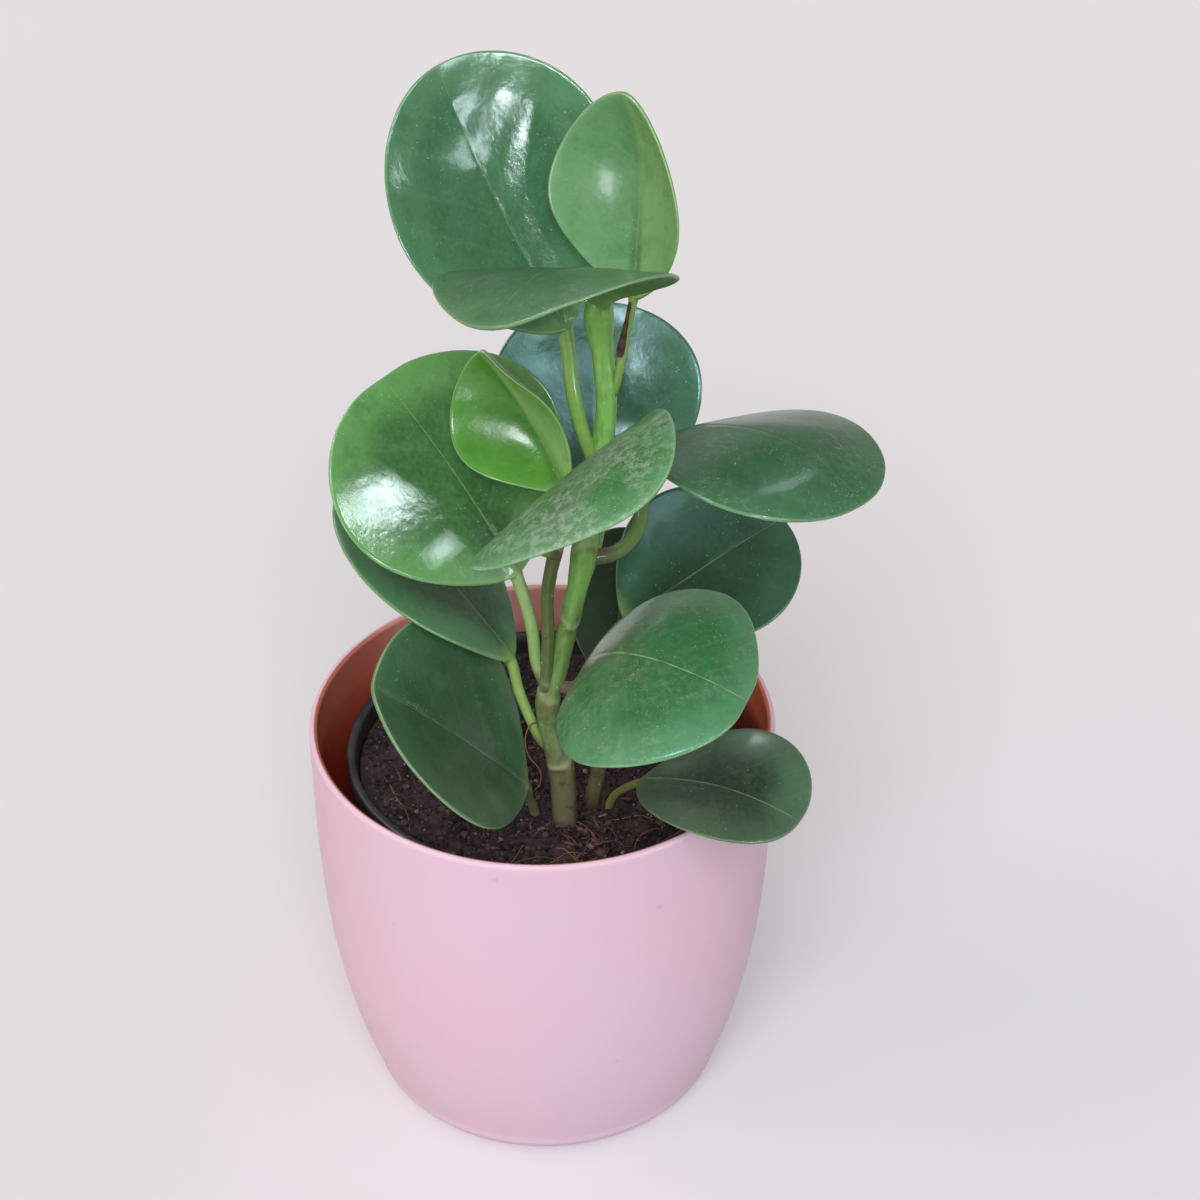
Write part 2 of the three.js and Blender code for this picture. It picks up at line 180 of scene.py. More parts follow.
# %% [markdown]
# The room itself gives a dim even light. A dark leaf mirrors the room at a low angle, and a bright
# room would lay a grey haze on it, so mirror rays see it dimmer than diffuse ones. The camera alone
# sees a pale backdrop. Light Path tells the three kinds of ray apart.

# %% Light the room dimly
world = bpy.data.worlds.new("room")
world.use_nodes = True
tree = world.node_tree
path = tree.nodes.new("ShaderNodeLightPath")
shade = tree.nodes["Background"].outputs[0]
tree.nodes["Background"].inputs["Color"].default_value = ROOM_COLOUR
tree.nodes["Background"].inputs["Strength"].default_value = ROOM_STRENGTH
for ray, colour, strength in (
    ("Is Glossy Ray", ROOM_COLOUR, MIRRORED_STRENGTH), ("Is Camera Ray", BACKDROP, 1.0)
):
    other, choose = (tree.nodes.new("ShaderNode" + kind) for kind in ("Background", "MixShader"))
    other.inputs["Color"].default_value = colour
    other.inputs["Strength"].default_value = strength
    tree.links.new(path.outputs[ray], choose.inputs[0])
    tree.links.new(shade, choose.inputs[1])
    tree.links.new(other.outputs[0], choose.inputs[2])
    shade = choose.outputs[0]
tree.links.new(shade, tree.nodes["World Output"].inputs["Surface"])
bpy.context.scene.world = world
bpy.context.scene.view_settings.view_transform = "Standard"
print("the room lights at", ROOM_STRENGTH)

# %% [markdown]
# ## Tools for meshes
# Most of this plant is a row of rings: a stem is a row of circles along a curve, a pot is a row of
# circles about its axis, and a leaf is a row of flat ovals along its midrib. Joining each ring to
# the next and closing both ends gives one watertight skin, so one helper serves them all. It also
# carries values per point, such as the distance from a leaf's margin, for the materials to read.

# %% Join rings into a closed skin
def skin_of(rings):
    """Points and faces of a closed skin through rings of equal length, capped by a fan at each end."""
    rings = np.asarray(rings, float)
    count, around = rings.shape[:2]
    points = [*rings.reshape(-1, 3), rings[0].mean(0), rings[-1].mean(0)]
    first, last = count * around, count * around + 1
    faces = []
    for i in range(count - 1):
        for j in range(around):
            k = (j + 1) % around
            faces.append((i * around + j, i * around + k, (i + 1) * around + k, (i + 1) * around + j))
    for j in range(around):
        k = (j + 1) % around
        faces.append((first, k, j))
        faces.append((last, (count - 1) * around + j, (count - 1) * around + k))
    points = np.array(points)
    if signed_volume(points, faces) < 0:
        faces = [face[::-1] for face in faces]
    return points, faces


def signed_volume(points, faces):
    """The volume inside a closed skin, below zero where its faces point inwards."""
    total = 0.0
    for face in faces:
        a = points[face[0]]
        for i in range(1, len(face) - 1):
            total += np.dot(a, np.cross(points[face[i]], points[face[i + 1]]))
    return total / 6


def with_caps(values):
    """A value per ring point, as a flat list that also covers the two end points."""
    values = np.asarray(values, float)
    return [*values.ravel(), values[0].mean(), values[-1].mean()]


def joined(skins):
    """Many skins as one. Each is its points and faces and the values stored at its points."""
    points, faces, values, offset = [], [], {}, 0
    for p, f, extra in skins:
        points.append(p)
        faces += [tuple(v + offset for v in face) for face in f]
        offset += len(p)
        for key, numbers in extra.items():
            values.setdefault(key, []).extend(numbers)
    return np.vstack(points), faces, values


def new_mesh(name, points, faces):
    """A mesh from points in mm."""
    mesh = bpy.data.meshes.new(name)
    mesh.from_pydata((np.asarray(points) * MM).tolist(), [], faces)
    return mesh


def make_piece(name, points, faces, slot, material, replaces=(), values=None):
    """A smooth-shaded mesh object that rides on the root body, from points in mm."""
    mesh = new_mesh(name, points, faces)
    mesh.shade_smooth()
    for key, numbers in (values or {}).items():
        layer = mesh.attributes.new(key, "FLOAT", "POINT")
        layer.data.foreach_set("value", np.asarray(numbers, np.float32))
    mesh.materials.append(material)
    piece = add_object(name, mesh)
    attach(piece, "root")
    for node in replaces:
        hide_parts(node)
    return piece


print("rings are joined by skin_of and become objects in make_piece")

# %% Draw a smooth curve through points
def curve_through(points, step):
    """Points at even steps along a smooth curve through the given points, and each one's share of
    the way, counted in given points. It is the same centripetal curve that shaped the solids."""
    p = np.array(points, float)
    p = np.vstack([2 * p[0] - p[1], p, 2 * p[-1] - p[-2]])
    dense, share = [], []
    for i in range(1, len(p) - 2):
        a, b, c, d = p[i - 1 : i + 3]
        ab, bc, cd = (max(np.linalg.norm(v) ** 0.5, 1e-4) for v in (b - a, c - b, d - c))
        leave = ((b - a) / ab - (c - a) / (ab + bc) + (c - b) / bc) * bc
        arrive = ((c - b) / bc - (d - b) / (bc + cd) + (d - c) / cd) * bc
        t = np.linspace(0, 1, 40, endpoint=False)
        u = t[:, None]
        dense.append(
            (2 * u**3 - 3 * u**2 + 1) * b + (u**3 - 2 * u**2 + u) * leave
            + (-2 * u**3 + 3 * u**2) * c + (u**3 - u**2) * arrive
        )
        share.append(i - 1 + t)
    dense = np.vstack([*dense, p[-2]])
    share = np.append(np.concatenate(share), len(points) - 1)
    length = np.append(0, np.cumsum(np.linalg.norm(np.diff(dense, axis=0), axis=1)))
    stops = np.linspace(0, length[-1], max(3, round(length[-1] / step)) + 1)
    even = np.stack([np.interp(stops, length, dense[:, k]) for k in range(3)], 1)
    return even, np.interp(stops, length, share)


def carried_frames(line, sideways):
    """Two directions across a line at each of its points, carried along it without twisting. They
    start from sideways at the line's last point."""
    along = np.gradient(line, axis=0)
    along /= np.linalg.norm(along, axis=1)[:, None]
    across = np.empty_like(line)
    side = np.asarray(sideways, float)
    for i in range(len(line) - 1, -1, -1):
        side = side - along[i] * np.dot(side, along[i])
        side /= np.linalg.norm(side)
        across[i] = side
    return across, np.cross(along, across)


def even_angles(count):
    """Angles at even steps once round."""
    return np.linspace(0, 2 * math.pi, count, endpoint=False)


def rings_on(line, radius, around, sideways, flatness=1.0):
    """Rings about a line. The radius is one number or a number for each point of each ring."""
    across, up = carried_frames(line, sideways)
    angle = even_angles(around)
    radius = np.broadcast_to(radius, (len(line), around))[..., None]
    return line[:, None] + radius * (
        across[:, None] * np.cos(angle)[:, None] + up[:, None] * (flatness * np.sin(angle))[:, None]
    )


print("a test curve has", len(curve_through([[0, 0, 0], [0, 0, 10], [5, 0, 20]], 1)[0]), "points")

# %% [markdown]
# ## Tools for materials
# A material is a small graph of nodes. Writing each node and link by hand takes many lines, so a
# short class keeps the tree and returns sockets that can be passed on. A colour that is written in
# the lesson is an sRGB triple from 0 to 255, as a paint program shows it.

# %% Draw node graphs in few words
def paint(red, green, blue):
    """An sRGB colour as the linear colour that a shader socket takes."""
    channels = [c / 255 for c in (red, green, blue)]
    return (*[c / 12.92 if c <= 0.04045 else ((c + 0.055) / 1.055) ** 2.4 for c in channels], 1.0)


class Graph:
    """A node tree with short calls for the nodes that this lesson uses."""

    def __init__(self, tree):
        self.tree = tree

    def feed(self, socket, value):
        """Links an output to a socket, or sets the socket's own value."""
        if isinstance(value, bpy.types.NodeSocket):
            self.tree.links.new(value, socket)
        elif value is not None:
            socket.default_value = value

    def node(self, kind, settings=None, **inputs):
        """Adds a node with its settings and inputs. An underscore stands for a space."""
        made = self.tree.nodes.new("ShaderNode" + kind)
        for key, value in (settings or {}).items():
            setattr(made, key, value)
        for key, value in inputs.items():
            self.feed(made.inputs[key.replace("_", " ")], value)
        return made

    def read(self, name):
        """A value stored at the mesh's points."""
        return self.node("Attribute", {"attribute_name": name}).outputs["Fac"]

    def math(self, operation, *values):
        """The result of one Math node."""
        made = self.node("Math", {"operation": operation})
        for socket, value in zip(made.inputs, values):
            self.feed(socket, value)
        return made.outputs[0]

    def times(self, *values):
        """The product of its values."""
        total = values[0]
        for value in values[1:]:
            total = self.math("MULTIPLY", total, value)
        return total

    def plus(self, *values):
        """The sum of its values."""
        total = values[0]
        for value in values[1:]:
            total = self.math("ADD", total, value)
        return total

    def spread(self, value, low, high, to_low=0.0, to_high=1.0, smooth=True):
        """Maps low..high to to_low..to_high, held at both ends."""
        made = self.node("MapRange", {"interpolation_type": "SMOOTHSTEP" if smooth else "LINEAR"})
        for key, number in zip(("Value", "From Min", "From Max", "To Min", "To Max"),
                               (value, low, high, to_low, to_high)):
            self.feed(made.inputs[key], number)
        return made.outputs[0]

    def blend(self, share, first, second):
        """Mixes two colours."""
        made = self.node("Mix", {"data_type": "RGBA"})
        for place, value in ((0, share), (6, first), (7, second)):
            self.feed(made.inputs[place], value)
        return made.outputs[2]

    def coats(self, colour, *coats):
        """Lays coats over a colour one by one. Each is a mask, its strength and its colour."""
        for mask, strength, coat in coats:
            colour = self.blend(self.times(mask, strength), colour, coat)
        return colour

    def where(self):
        """The place on the object, in its own metres."""
        return self.node("TexCoord").outputs["Object"]

    def noise(self, scale, detail=3.0, rough=0.5, where=None, distortion=0.0):
        """Cloudy noise in the object's own metres, from 0 to 1."""
        made = self.node("TexNoise", Vector=where or self.where(), Scale=scale, Detail=detail,
                         Roughness=rough, Distortion=distortion)
        return made.outputs["Fac"]

    def group(self, group, **values):
        """Places a built group and returns its outputs, or its only output."""
        made = self.node("Group", {"node_tree": group}, **values)
        return made.outputs if len(made.outputs) > 1 else made.outputs[0]


print("white is", paint(255, 255, 255)[:3])

# %% [markdown]
# ## Effects shared by several materials
# Three effects come back on more than one surface, so each is a node group that is built once and
# placed with its own values: soft clouds of a second colour, sharp specks of dust or lime, and the
# fine unevenness of a skin that breaks up a reflection.

# %% Start a node group
def new_group(name, inputs, outputs):
    """An empty shader node group with named float inputs and outputs."""
    tree = bpy.data.node_groups.new(name, "ShaderNodeTree")
    for label, start in inputs.items():
        socket = tree.interface.new_socket(label, in_out="INPUT", socket_type="NodeSocketFloat")
        socket.default_value = start
    for label in outputs:
        tree.interface.new_socket(label, in_out="OUTPUT", socket_type="NodeSocketFloat")
    ends = tree.nodes.new("NodeGroupInput"), tree.nodes.new("NodeGroupOutput")
    return Graph(tree), ends[0].outputs, ends[1].inputs


print("groups start in new_group")


# %% Build the soft clouds
def build_clouds():
    """Soft patches, where a cloudy field is between two levels."""
    g, inside, out = new_group("soft_clouds", {"Scale": 60.0, "Low": 0.35, "High": 0.65}, ["Mask"])
    field = g.noise(inside["Scale"], 3.0, 0.55, distortion=0.4)
    g.feed(out["Mask"], g.spread(field, inside["Low"], inside["High"]))
    return g.tree


CLOUDS = build_clouds()
print("group", CLOUDS.name, "gives", [s.name for s in CLOUDS.interface.items_tree])


# %% Build the dust and lime specks
JITTER = 0.0011  # how far noise shifts a speck, in metres, so that none is a plain round dot


def build_specks():
    """Small uneven specks of mixed size that gather in patches."""
    g, inside, out = new_group("specks", {"Scale": 700.0, "Amount": 0.3, "Patchiness": 0.5}, ["Mask"])
    where = g.where()
    jitter = g.node("TexNoise", Vector=where, Scale=900.0, Detail=2.0).outputs["Color"]
    moved = g.node("VectorMath", {"operation": "SCALE"}, Scale=JITTER)
    g.feed(moved.inputs[0], jitter)
    shifted = g.node("VectorMath", {"operation": "ADD"})
    g.feed(shifted.inputs[0], where)
    g.feed(shifted.inputs[1], moved.outputs[0])
    seeds = g.node("TexVoronoi", Vector=shifted.outputs[0], Scale=inside["Scale"])
    luck = g.node("SeparateColor", Color=seeds.outputs["Color"]).outputs["Red"]
    patch = g.times(g.spread(g.noise(45.0, 2.0, 0.5), 0.40, 0.62),
                    g.spread(g.noise(210.0, 3.0, 0.6), 0.36, 0.62))
    everywhere = g.math("SUBTRACT", 1.0, inside["Patchiness"])
    share = g.times(inside["Amount"], g.plus(g.times(patch, inside["Patchiness"]), everywhere))
    size = g.spread(luck, 0.0, share, 0.42, 0.0, smooth=False)
    speck = g.spread(seeds.outputs["Distance"], size, g.times(size, 0.4))
    g.feed(out["Mask"], g.times(speck, g.math("LESS_THAN", luck, share)))
    return g.tree


SPECKS = build_specks()
print("group", SPECKS.name, "gives", [s.name for s in SPECKS.interface.items_tree])


# %% Build the fine skin
def build_fine_skin():
    """A height in metres of fine pores, wrinkles of about 2 mm and a slow swell, for a Bump node."""
    sizes = {"Pore": (1500.0, 2.0, 0.6), "Wrinkle": (430.0, 2.0, 0.5), "Swell": (120.0, 2.0, 0.45)}
    g, inside, out = new_group("fine_skin", {key: 0.0 for key in sizes}, ["Height"])
    layers = [g.times(g.noise(*sizes[key]), inside[key]) for key in sizes]
    g.feed(out["Height"], g.plus(*layers))
    return g.tree


FINE_SKIN = build_fine_skin()
print("three shared groups are ready")


# %% Start a material
def new_material(name, **constants):
    """A material with one Principled shader. Values that are the same all over go on its sockets."""
    material = bpy.data.materials.new(name)
    material.use_nodes = True
    graph = Graph(material.node_tree)
    shader = material.node_tree.nodes["Principled BSDF"]
    for key, value in constants.items():
        shader.inputs[key.replace("_", " ")].default_value = value
    return material, graph, shader


def add_bump(graph, shader, height):
    """Tilts the shading normal by a height field that is in metres."""
    bump = graph.node("Bump", Height=height, Strength=1.0, Distance=1.0)
    graph.feed(shader.inputs["Normal"], bump.outputs["Normal"])


print("materials start in new_material")

# %% [markdown]
# ## The cover pot
# On the real object this is one moulded piece: a matt pink bell with a thin rounded rim. It could
# be a Screw modifier on a profile curve, or rings in code. Rings in code are used, because the same
# formula that shaped the solid then gives the same outline with five times as many points, and
# each point can say how deep it is inside the pot, where the pink is painted a warm deep red as
# painted shade and bounced pink light.

# %% Shape the bell
COVER_HEIGHT, COVER_RADIUS, COVER_WALL, COVER_FLOOR = 129.0, 70.0, 2.4, 3.0
COVER_TAPER, COVER_BELL, COVER_FOOT = 0.23, 3.2, 6.0
POT_SIDES = 224


def bell_radius(z):
    """The outer radius of the bell at a height."""
    return COVER_RADIUS * (1 - COVER_TAPER * (1 - z / COVER_HEIGHT) ** COVER_BELL)


def turned(profile, sides=POT_SIDES):
    """Rings about the vertical axis, one for each [radius, height] of the profile."""
    return np.array([
        [(r * math.cos(a), r * math.sin(a), z) for a in even_angles(sides)] for r, z in profile
    ])


def cover_profile():
    """From the middle of the underside, up the outside, over the rim and down to the inner floor."""
    foot_x = bell_radius(COVER_FOOT) - COVER_FOOT
    profile = [(r, 0.0) for r in (8, 24, foot_x - 4, foot_x)]
    for a in np.linspace(0.15, math.pi / 2, 9):
        profile.append((foot_x + COVER_FOOT * math.sin(a), COVER_FOOT * (1 - math.cos(a))))
    heights = [*np.linspace(8, 124, 36), 126.5]
    profile += [(bell_radius(z), z) for z in heights]
    lip = COVER_WALL / 2
    middle = COVER_RADIUS - lip
    for a in np.linspace(0, math.pi, 11):
        profile.append((middle + lip * math.cos(a), COVER_HEIGHT - lip + lip * math.sin(a)))
    profile += [(bell_radius(z) - COVER_WALL, z) for z in reversed(heights)]
    inner = bell_radius(COVER_FOOT) - COVER_WALL
    profile += [(inner - 1, COVER_FOOT + 1), (inner - 2.2, 4.4), (inner - 4, COVER_FLOOR)]
    profile += [(r, COVER_FLOOR) for r in (30, 8)]
    return profile


profile = cover_profile()
rim = max(range(len(profile)), key=lambda i: profile[i][1])
print("the bell's profile has", len(profile), "points, its rim is number", rim)

# %% Mix the pink plastic
def pink_plastic():
    """Matt pink outside; inside, painted shade and bounced pink light make it a deep warm red, and
    painted light makes it paler where light falls on the back wall.
    """
    material, g, shader = new_material("pink_plastic", Roughness=0.46, Specular_IOR_Level=0.42)
    clouds = g.group(CLOUDS, Scale=18.0, Low=0.3, High=0.7)
    outside = g.blend(clouds, paint(238, 198, 214), paint(234, 201, 219))
    # painted shade and bounced light: the inner wall is painted a deep warm red that changes with height
    depth = g.spread(g.read("height"), 92.0, 126.0)
    inside = g.blend(depth, paint(224, 84, 52), paint(200, 108, 88))
    # painted light: the back of the inner wall, where light falls, is painted paler pink
    place = g.node("SeparateXYZ", Vector=g.where())
    inside = g.blend(g.spread(place.outputs["Y"], 0.035, 0.062), inside, paint(255, 178, 172))
    scuff = g.group(SPECKS, Scale=260.0, Amount=0.05, Patchiness=0.8)
    colour = g.coats(g.blend(g.read("inner"), outside, inside), (scuff, 0.25, paint(196, 160, 170)))
    g.feed(shader.inputs["Base Color"], colour)
    g.feed(shader.inputs["Roughness"], g.spread(g.noise(45.0), 0.3, 0.7, 0.40, 0.52))
    add_bump(g, shader, g.group(FINE_SKIN, Pore=0.000012, Swell=0.00003))
    return material


rings = turned(profile)
points, faces = skin_of(rings)
inner = np.repeat([[1.0 if i > rim else 0.0] for i in range(len(profile))], POT_SIDES, 1)
make_piece(
    "cover_pot_shell", points, faces, "cover_pot", pink_plastic(), ["cover_pot"],
    {"inner": with_caps(inner), "height": with_caps(rings[:, :, 2])},
)
print("the cover pot has", len(faces), "faces")

# %% [markdown]
# ## The nursery pot
# Growers sell the plant in a thin black pot with a rolled rim and holes in its floor. Only the rim
# shows. It is turned like the cover pot, and its holes are cut by one Boolean modifier, because a
# hole through a floor is hard to weave into rings by hand. The modifier is applied, so that the
# mesh itself has the holes.

# %% Turn the nursery pot and drill it
CLEARANCE = 0.3
NURSERY_RIM, NURSERY_RADIUS, NURSERY_FOOT = 118.0, 59.5, 43.0
NURSERY_WALL, NURSERY_LIP, NURSERY_LIP_HEIGHT = 1.1, 1.6, 7.0
NURSERY_SIDES = 192
DRAIN_HOLES, DRAIN_RADIUS, DRAIN_CIRCLE = 6, 4.0, 28.0
DRILL_REACH, DRILL_SIDES = 3, 24
NURSERY_BASE = COVER_FLOOR + CLEARANCE


def nursery_radius(z):
    """The outer radius of the nursery pot's wall at a height, below its rim."""
    share = (z - NURSERY_BASE) / (NURSERY_RIM - NURSERY_BASE)
    return NURSERY_FOOT + share * (NURSERY_RADIUS - NURSERY_LIP - NURSERY_FOOT)


def nursery_profile():
    """From the middle of the underside, up the outside, over the rim and down to the floor."""
    shoulder = NURSERY_RIM - NURSERY_LIP_HEIGHT
    profile = [(r, NURSERY_BASE) for r in (8, 20, 36, NURSERY_FOOT - 0.5)]
    profile.append((NURSERY_FOOT, NURSERY_BASE + 0.4))
    profile += [(nursery_radius(z), z) for z in np.linspace(8, shoulder, 16)]
    profile += [(NURSERY_RADIUS - 0.4, shoulder + 0.4), (NURSERY_RADIUS - 0.15, shoulder + 1.2)]
    profile += [(NURSERY_RADIUS, z) for z in (shoulder + 3, NURSERY_RIM - 1.2)]
    profile += [(NURSERY_RADIUS - 0.2, NURSERY_RIM - 0.4), (NURSERY_RADIUS - 0.7, NURSERY_RIM)]
    inside = nursery_radius(NURSERY_RIM) - NURSERY_WALL
    profile += [(inside + 0.6, NURSERY_RIM), (inside + 0.1, NURSERY_RIM - 0.4)]
    profile += [(nursery_radius(z) - NURSERY_WALL, z) for z in np.linspace(116, 6, 16)]
    floor = NURSERY_BASE + NURSERY_WALL
    profile += [(r, floor) for r in (NURSERY_FOOT - 1.6, 36, 20, 8)]
    return profile


def black_plastic():
    """Black with a faint sheen, dusty in places and gritty with peat."""
    material, g, shader = new_material("black_plastic", Roughness=0.4, Specular_IOR_Level=0.5)
    dust = g.group(CLOUDS, Scale=70.0, Low=0.4, High=0.75)
    grit = g.group(SPECKS, Scale=420.0, Amount=0.22, Patchiness=0.6)
    colour = g.coats(
        paint(38, 35, 39), (dust, 0.55, paint(70, 64, 66)), (grit, 0.6, paint(104, 84, 72))
    )
    g.feed(shader.inputs["Base Color"], colour)
    g.feed(shader.inputs["Roughness"], g.spread(dust, 0.0, 1.0, 0.36, 0.62))
    add_bump(g, shader, g.group(FINE_SKIN, Pore=0.00002, Swell=0.00012))
    return material


points, faces = skin_of(turned(nursery_profile(), NURSERY_SIDES))
nursery_pot = make_piece(
    "nursery_pot_shell", points, faces, "nursery_pot", black_plastic(), ["nursery_pot"]
)


def drill_floor(pot):
    """Cuts the drain holes through the floor and keeps the cut mesh."""
    drill = turned([(DRAIN_RADIUS, NURSERY_BASE + h) for h in (-DRILL_REACH, DRILL_REACH)], DRILL_SIDES)
    drills = []
    for a in even_angles(DRAIN_HOLES):
        centre = (DRAIN_CIRCLE * math.cos(a), DRAIN_CIRCLE * math.sin(a), 0)
        drills.append((*skin_of(drill + centre), {}))
    points, faces, _ = joined(drills)
    tool = add_object("drills", new_mesh("drills", points, faces))
    cut = pot.modifiers.new("holes", "BOOLEAN")
    cut.operation, cut.object, cut.solver = "DIFFERENCE", tool, "EXACT"
    bpy.context.view_layer.update()
    ready = pot.evaluated_get(bpy.context.evaluated_depsgraph_get())
    pot.data = bpy.data.meshes.new_from_object(ready)
    pot.modifiers.clear()
    bpy.data.objects.remove(tool)


drill_floor(nursery_pot)
print("the nursery pot has", len(nursery_pot.data.polygons), "faces after drilling")

# %% [markdown]
# ## The peat
# The nursery pot is full of dark peat. From above it reads as crumbs of every size, so a flat disc
# with a bump map would look like a carpet. The body is turned like a pot, its top is a fine polar
# grid lifted by layers of seeded noise, and loose crumbs, bark chips and fibres lie on it.

# %% Make seeded noise on a plane
SEED = 7
rng = np.random.default_rng(SEED)
NOISE_CELLS = 64
noise_table = rng.random((NOISE_CELLS, NOISE_CELLS))


def plane_noise(x, y, cell):
    """Smooth noise from -1 to 1 whose bumps are about one cell wide."""
    u, v = np.asarray(x, float) / cell, np.asarray(y, float) / cell
    i, j = np.floor(u).astype(int), np.floor(v).astype(int)
    s, t = u - i, v - j
    s, t = s * s * (3 - 2 * s), t * t * (3 - 2 * t)

    def corner(di, dj):
        return noise_table[(i + di) % NOISE_CELLS, (j + dj) % NOISE_CELLS]

    low = corner(0, 0) * (1 - s) + corner(1, 0) * s
    high = corner(0, 1) * (1 - s) + corner(1, 1) * s
    return 2 * (low * (1 - t) + high * t) - 1


print("noise at three places:", np.round(plane_noise([0, 3, 6], [1, 2, 3], 4.0), 2))

# %% Raise the surface of the peat
SOIL_SURFACE, SOIL_RELIEF = 112.0, 1.3
SOIL_EDGE = nursery_radius(SOIL_SURFACE) - NURSERY_WALL - CLEARANCE
SOIL_BOTTOM = NURSERY_BASE + NURSERY_WALL + CLEARANCE
SOIL_RINGS, SOIL_SIDES = 62, 240
WALL_HEIGHTS = np.linspace(SOIL_BOTTOM, 111, 10)


def soil_height(x, y):
    """Height of the peat's surface: the slow lumps of the solid, with finer ones on top."""
    broad = np.sin(x * 0.21 + 0.6) * np.cos(y * 0.17 - 0.4)
    narrow = 0.6 * np.sin(x * 0.11 - y * 0.31 + 1.9)
    calm = 1 - np.minimum(1, np.hypot(x, y) / SOIL_EDGE) ** 6
    lumps = 0.55 * plane_noise(x, y, 7.0) + 0.45 * plane_noise(x + 31, y, 3.2)
    grains = 0.3 * plane_noise(x, y + 17, 1.5)
    return SOIL_SURFACE + (SOIL_RELIEF * (broad + narrow) + lumps + grains) * calm


profile = [(r, SOIL_BOTTOM) for r in (10, 30)]
profile += [(nursery_radius(z) - NURSERY_WALL - CLEARANCE, z) for z in WALL_HEIGHTS]
wall_points = len(profile)
profile += [(SOIL_EDGE * (1 - i / SOIL_RINGS), SOIL_SURFACE) for i in range(SOIL_RINGS)]
rings = turned(profile, SOIL_SIDES)
top = rings[wall_points:]
top[:, :, 2] = soil_height(top[:, :, 0], top[:, :, 1])
soil_skin = skin_of(rings)
print("the peat has", len(soil_skin[1]), "faces and rises to", round(top[:, :, 2].max(), 1), "mm")


# %% Mix the peat and put it in
def damp_peat():
    """Dark brown with paler crumbs of two sizes and a few light grains."""
    material, g, shader = new_material("damp_peat", Roughness=0.95, Specular_IOR_Level=0.2)
    broad = g.group(CLOUDS, Scale=110.0, Low=0.35, High=0.7)
    fine = g.group(CLOUDS, Scale=520.0, Low=0.4, High=0.72)
    grit = g.group(SPECKS, Scale=330.0, Amount=0.05, Patchiness=0.3)
    colour = g.coats(
        g.blend(broad, paint(38, 31, 34), paint(68, 56, 60)),
        (fine, 0.7, paint(94, 68, 66)), (grit, 0.6, paint(166, 132, 104)),
    )
    g.feed(shader.inputs["Base Color"], colour)
    g.feed(shader.inputs["Roughness"], g.spread(broad, 0.0, 1.0, 0.82, 1.0))
    add_bump(g, shader, g.times(g.noise(700.0, 4.0, 0.7), 0.0009))
    return material


make_piece("peat_body", *soil_skin, "soil", damp_peat(), ["soil"])
print("the peat is in the pot")

# %% [markdown]
# Loose crumbs are what makes peat look like peat. Each could be a copy of one lump, but copies show
# when they lie close together. Every crumb is therefore an icosahedron whose corners are moved by
# its own random amounts, and all of them are one mesh, so that they cost one object.

# %% Scatter the crumbs
CRUMBS, CRUMB_SIZE, LARGEST_CRUMB = 3600, 0.42, 2.1
GOLDEN = (1 + 5**0.5) / 2


def icosahedron():
    """Twelve corners on the unit sphere and the twenty faces between them."""
    corners = [(0, s, t * GOLDEN) for s in (-1, 1) for t in (-1, 1)]
    corners = np.array([np.roll(c, k) for k in range(3) for c in corners], float)
    corners /= np.linalg.norm(corners[0])
    gap = np.linalg.norm(corners[:, None] - corners, axis=2)
    near = (gap > 0.1) & (gap < 1.1)
    faces = []
    for a in range(12):
        for b in range(a + 1, 12):
            for c in range(b + 1, 12):
                if near[a, b] and near[b, c] and near[a, c]:
                    out = np.dot(corners[a], np.cross(corners[b], corners[c]))
                    faces.append((a, b, c) if out > 0 else (a, c, b))
    return corners, faces


def random_turn():
    """A random rotation matrix."""
    q, r = np.linalg.qr(rng.normal(size=(3, 3)))
    q *= np.sign(np.diag(r))
    return q if np.linalg.det(q) > 0 else -q


def spot_on_soil(limit=0.965):
    """A random place on the peat, as far out as that share of its radius."""
    radius = SOIL_EDGE * limit * math.sqrt(rng.random())
    angle = rng.random() * 2 * math.pi
    return radius * math.cos(angle), radius * math.sin(angle)


lump, lump_faces = icosahedron()
crumbs = []
for _ in range(CRUMBS):
    size = min(LARGEST_CRUMB, CRUMB_SIZE * math.exp(rng.normal() * 0.5))
    shape = lump * (1 + 0.3 * rng.normal(size=(len(lump), 1)).clip(-1.4, 1.4))
    shape = (shape * rng.uniform(0.6, 1.15, 3)) @ random_turn() * size
    x, y = spot_on_soil()
    shape += (x, y, float(soil_height(x, y)) + size * 0.35)
    crumbs.append((shape, lump_faces, {"tone": [rng.random()] * len(lump)}))
points, faces, tones = joined(crumbs)
print(CRUMBS, "crumbs up to", round(points[:, 2].max(), 1), "mm high")


# %% Mix the crumbs and lay them
def toned_bits(name, dark, light, bright):
    """A rough material whose colour follows the tone stored for each bit."""
    material, g, shader = new_material(name, Roughness=0.9, Specular_IOR_Level=0.25)
    tone = g.read("tone")
    colour = g.blend(g.spread(tone, 0.1, 0.85), dark, light)
    colour = g.blend(g.spread(tone, 0.9, 0.97), colour, bright)
    grain = g.group(CLOUDS, Scale=900.0, Low=0.35, High=0.7)
    g.feed(shader.inputs["Base Color"], g.coats(colour, (grain, 0.3, paint(40, 26, 24))))
    add_bump(g, shader, g.times(g.noise(1800.0, 3.0, 0.7), 0.0003))
    return material


crumb_skin = toned_bits("peat_crumb", paint(36, 29, 35), paint(94, 77, 82), paint(150, 124, 116))
make_piece("peat_crumbs", points, faces, "soil", crumb_skin, (), tones)
print("crumbs are one object of", len(faces), "faces")

# %% [markdown]
# Bark chips and fibres finish the surface. A chip is a short flat splinter with torn ends, and a
# fibre is a hair-thin root or coir strand that arches off the peat and dives back in. Both are rows
# of rings again. In the photograph they gather in front of the foot of the main stem.

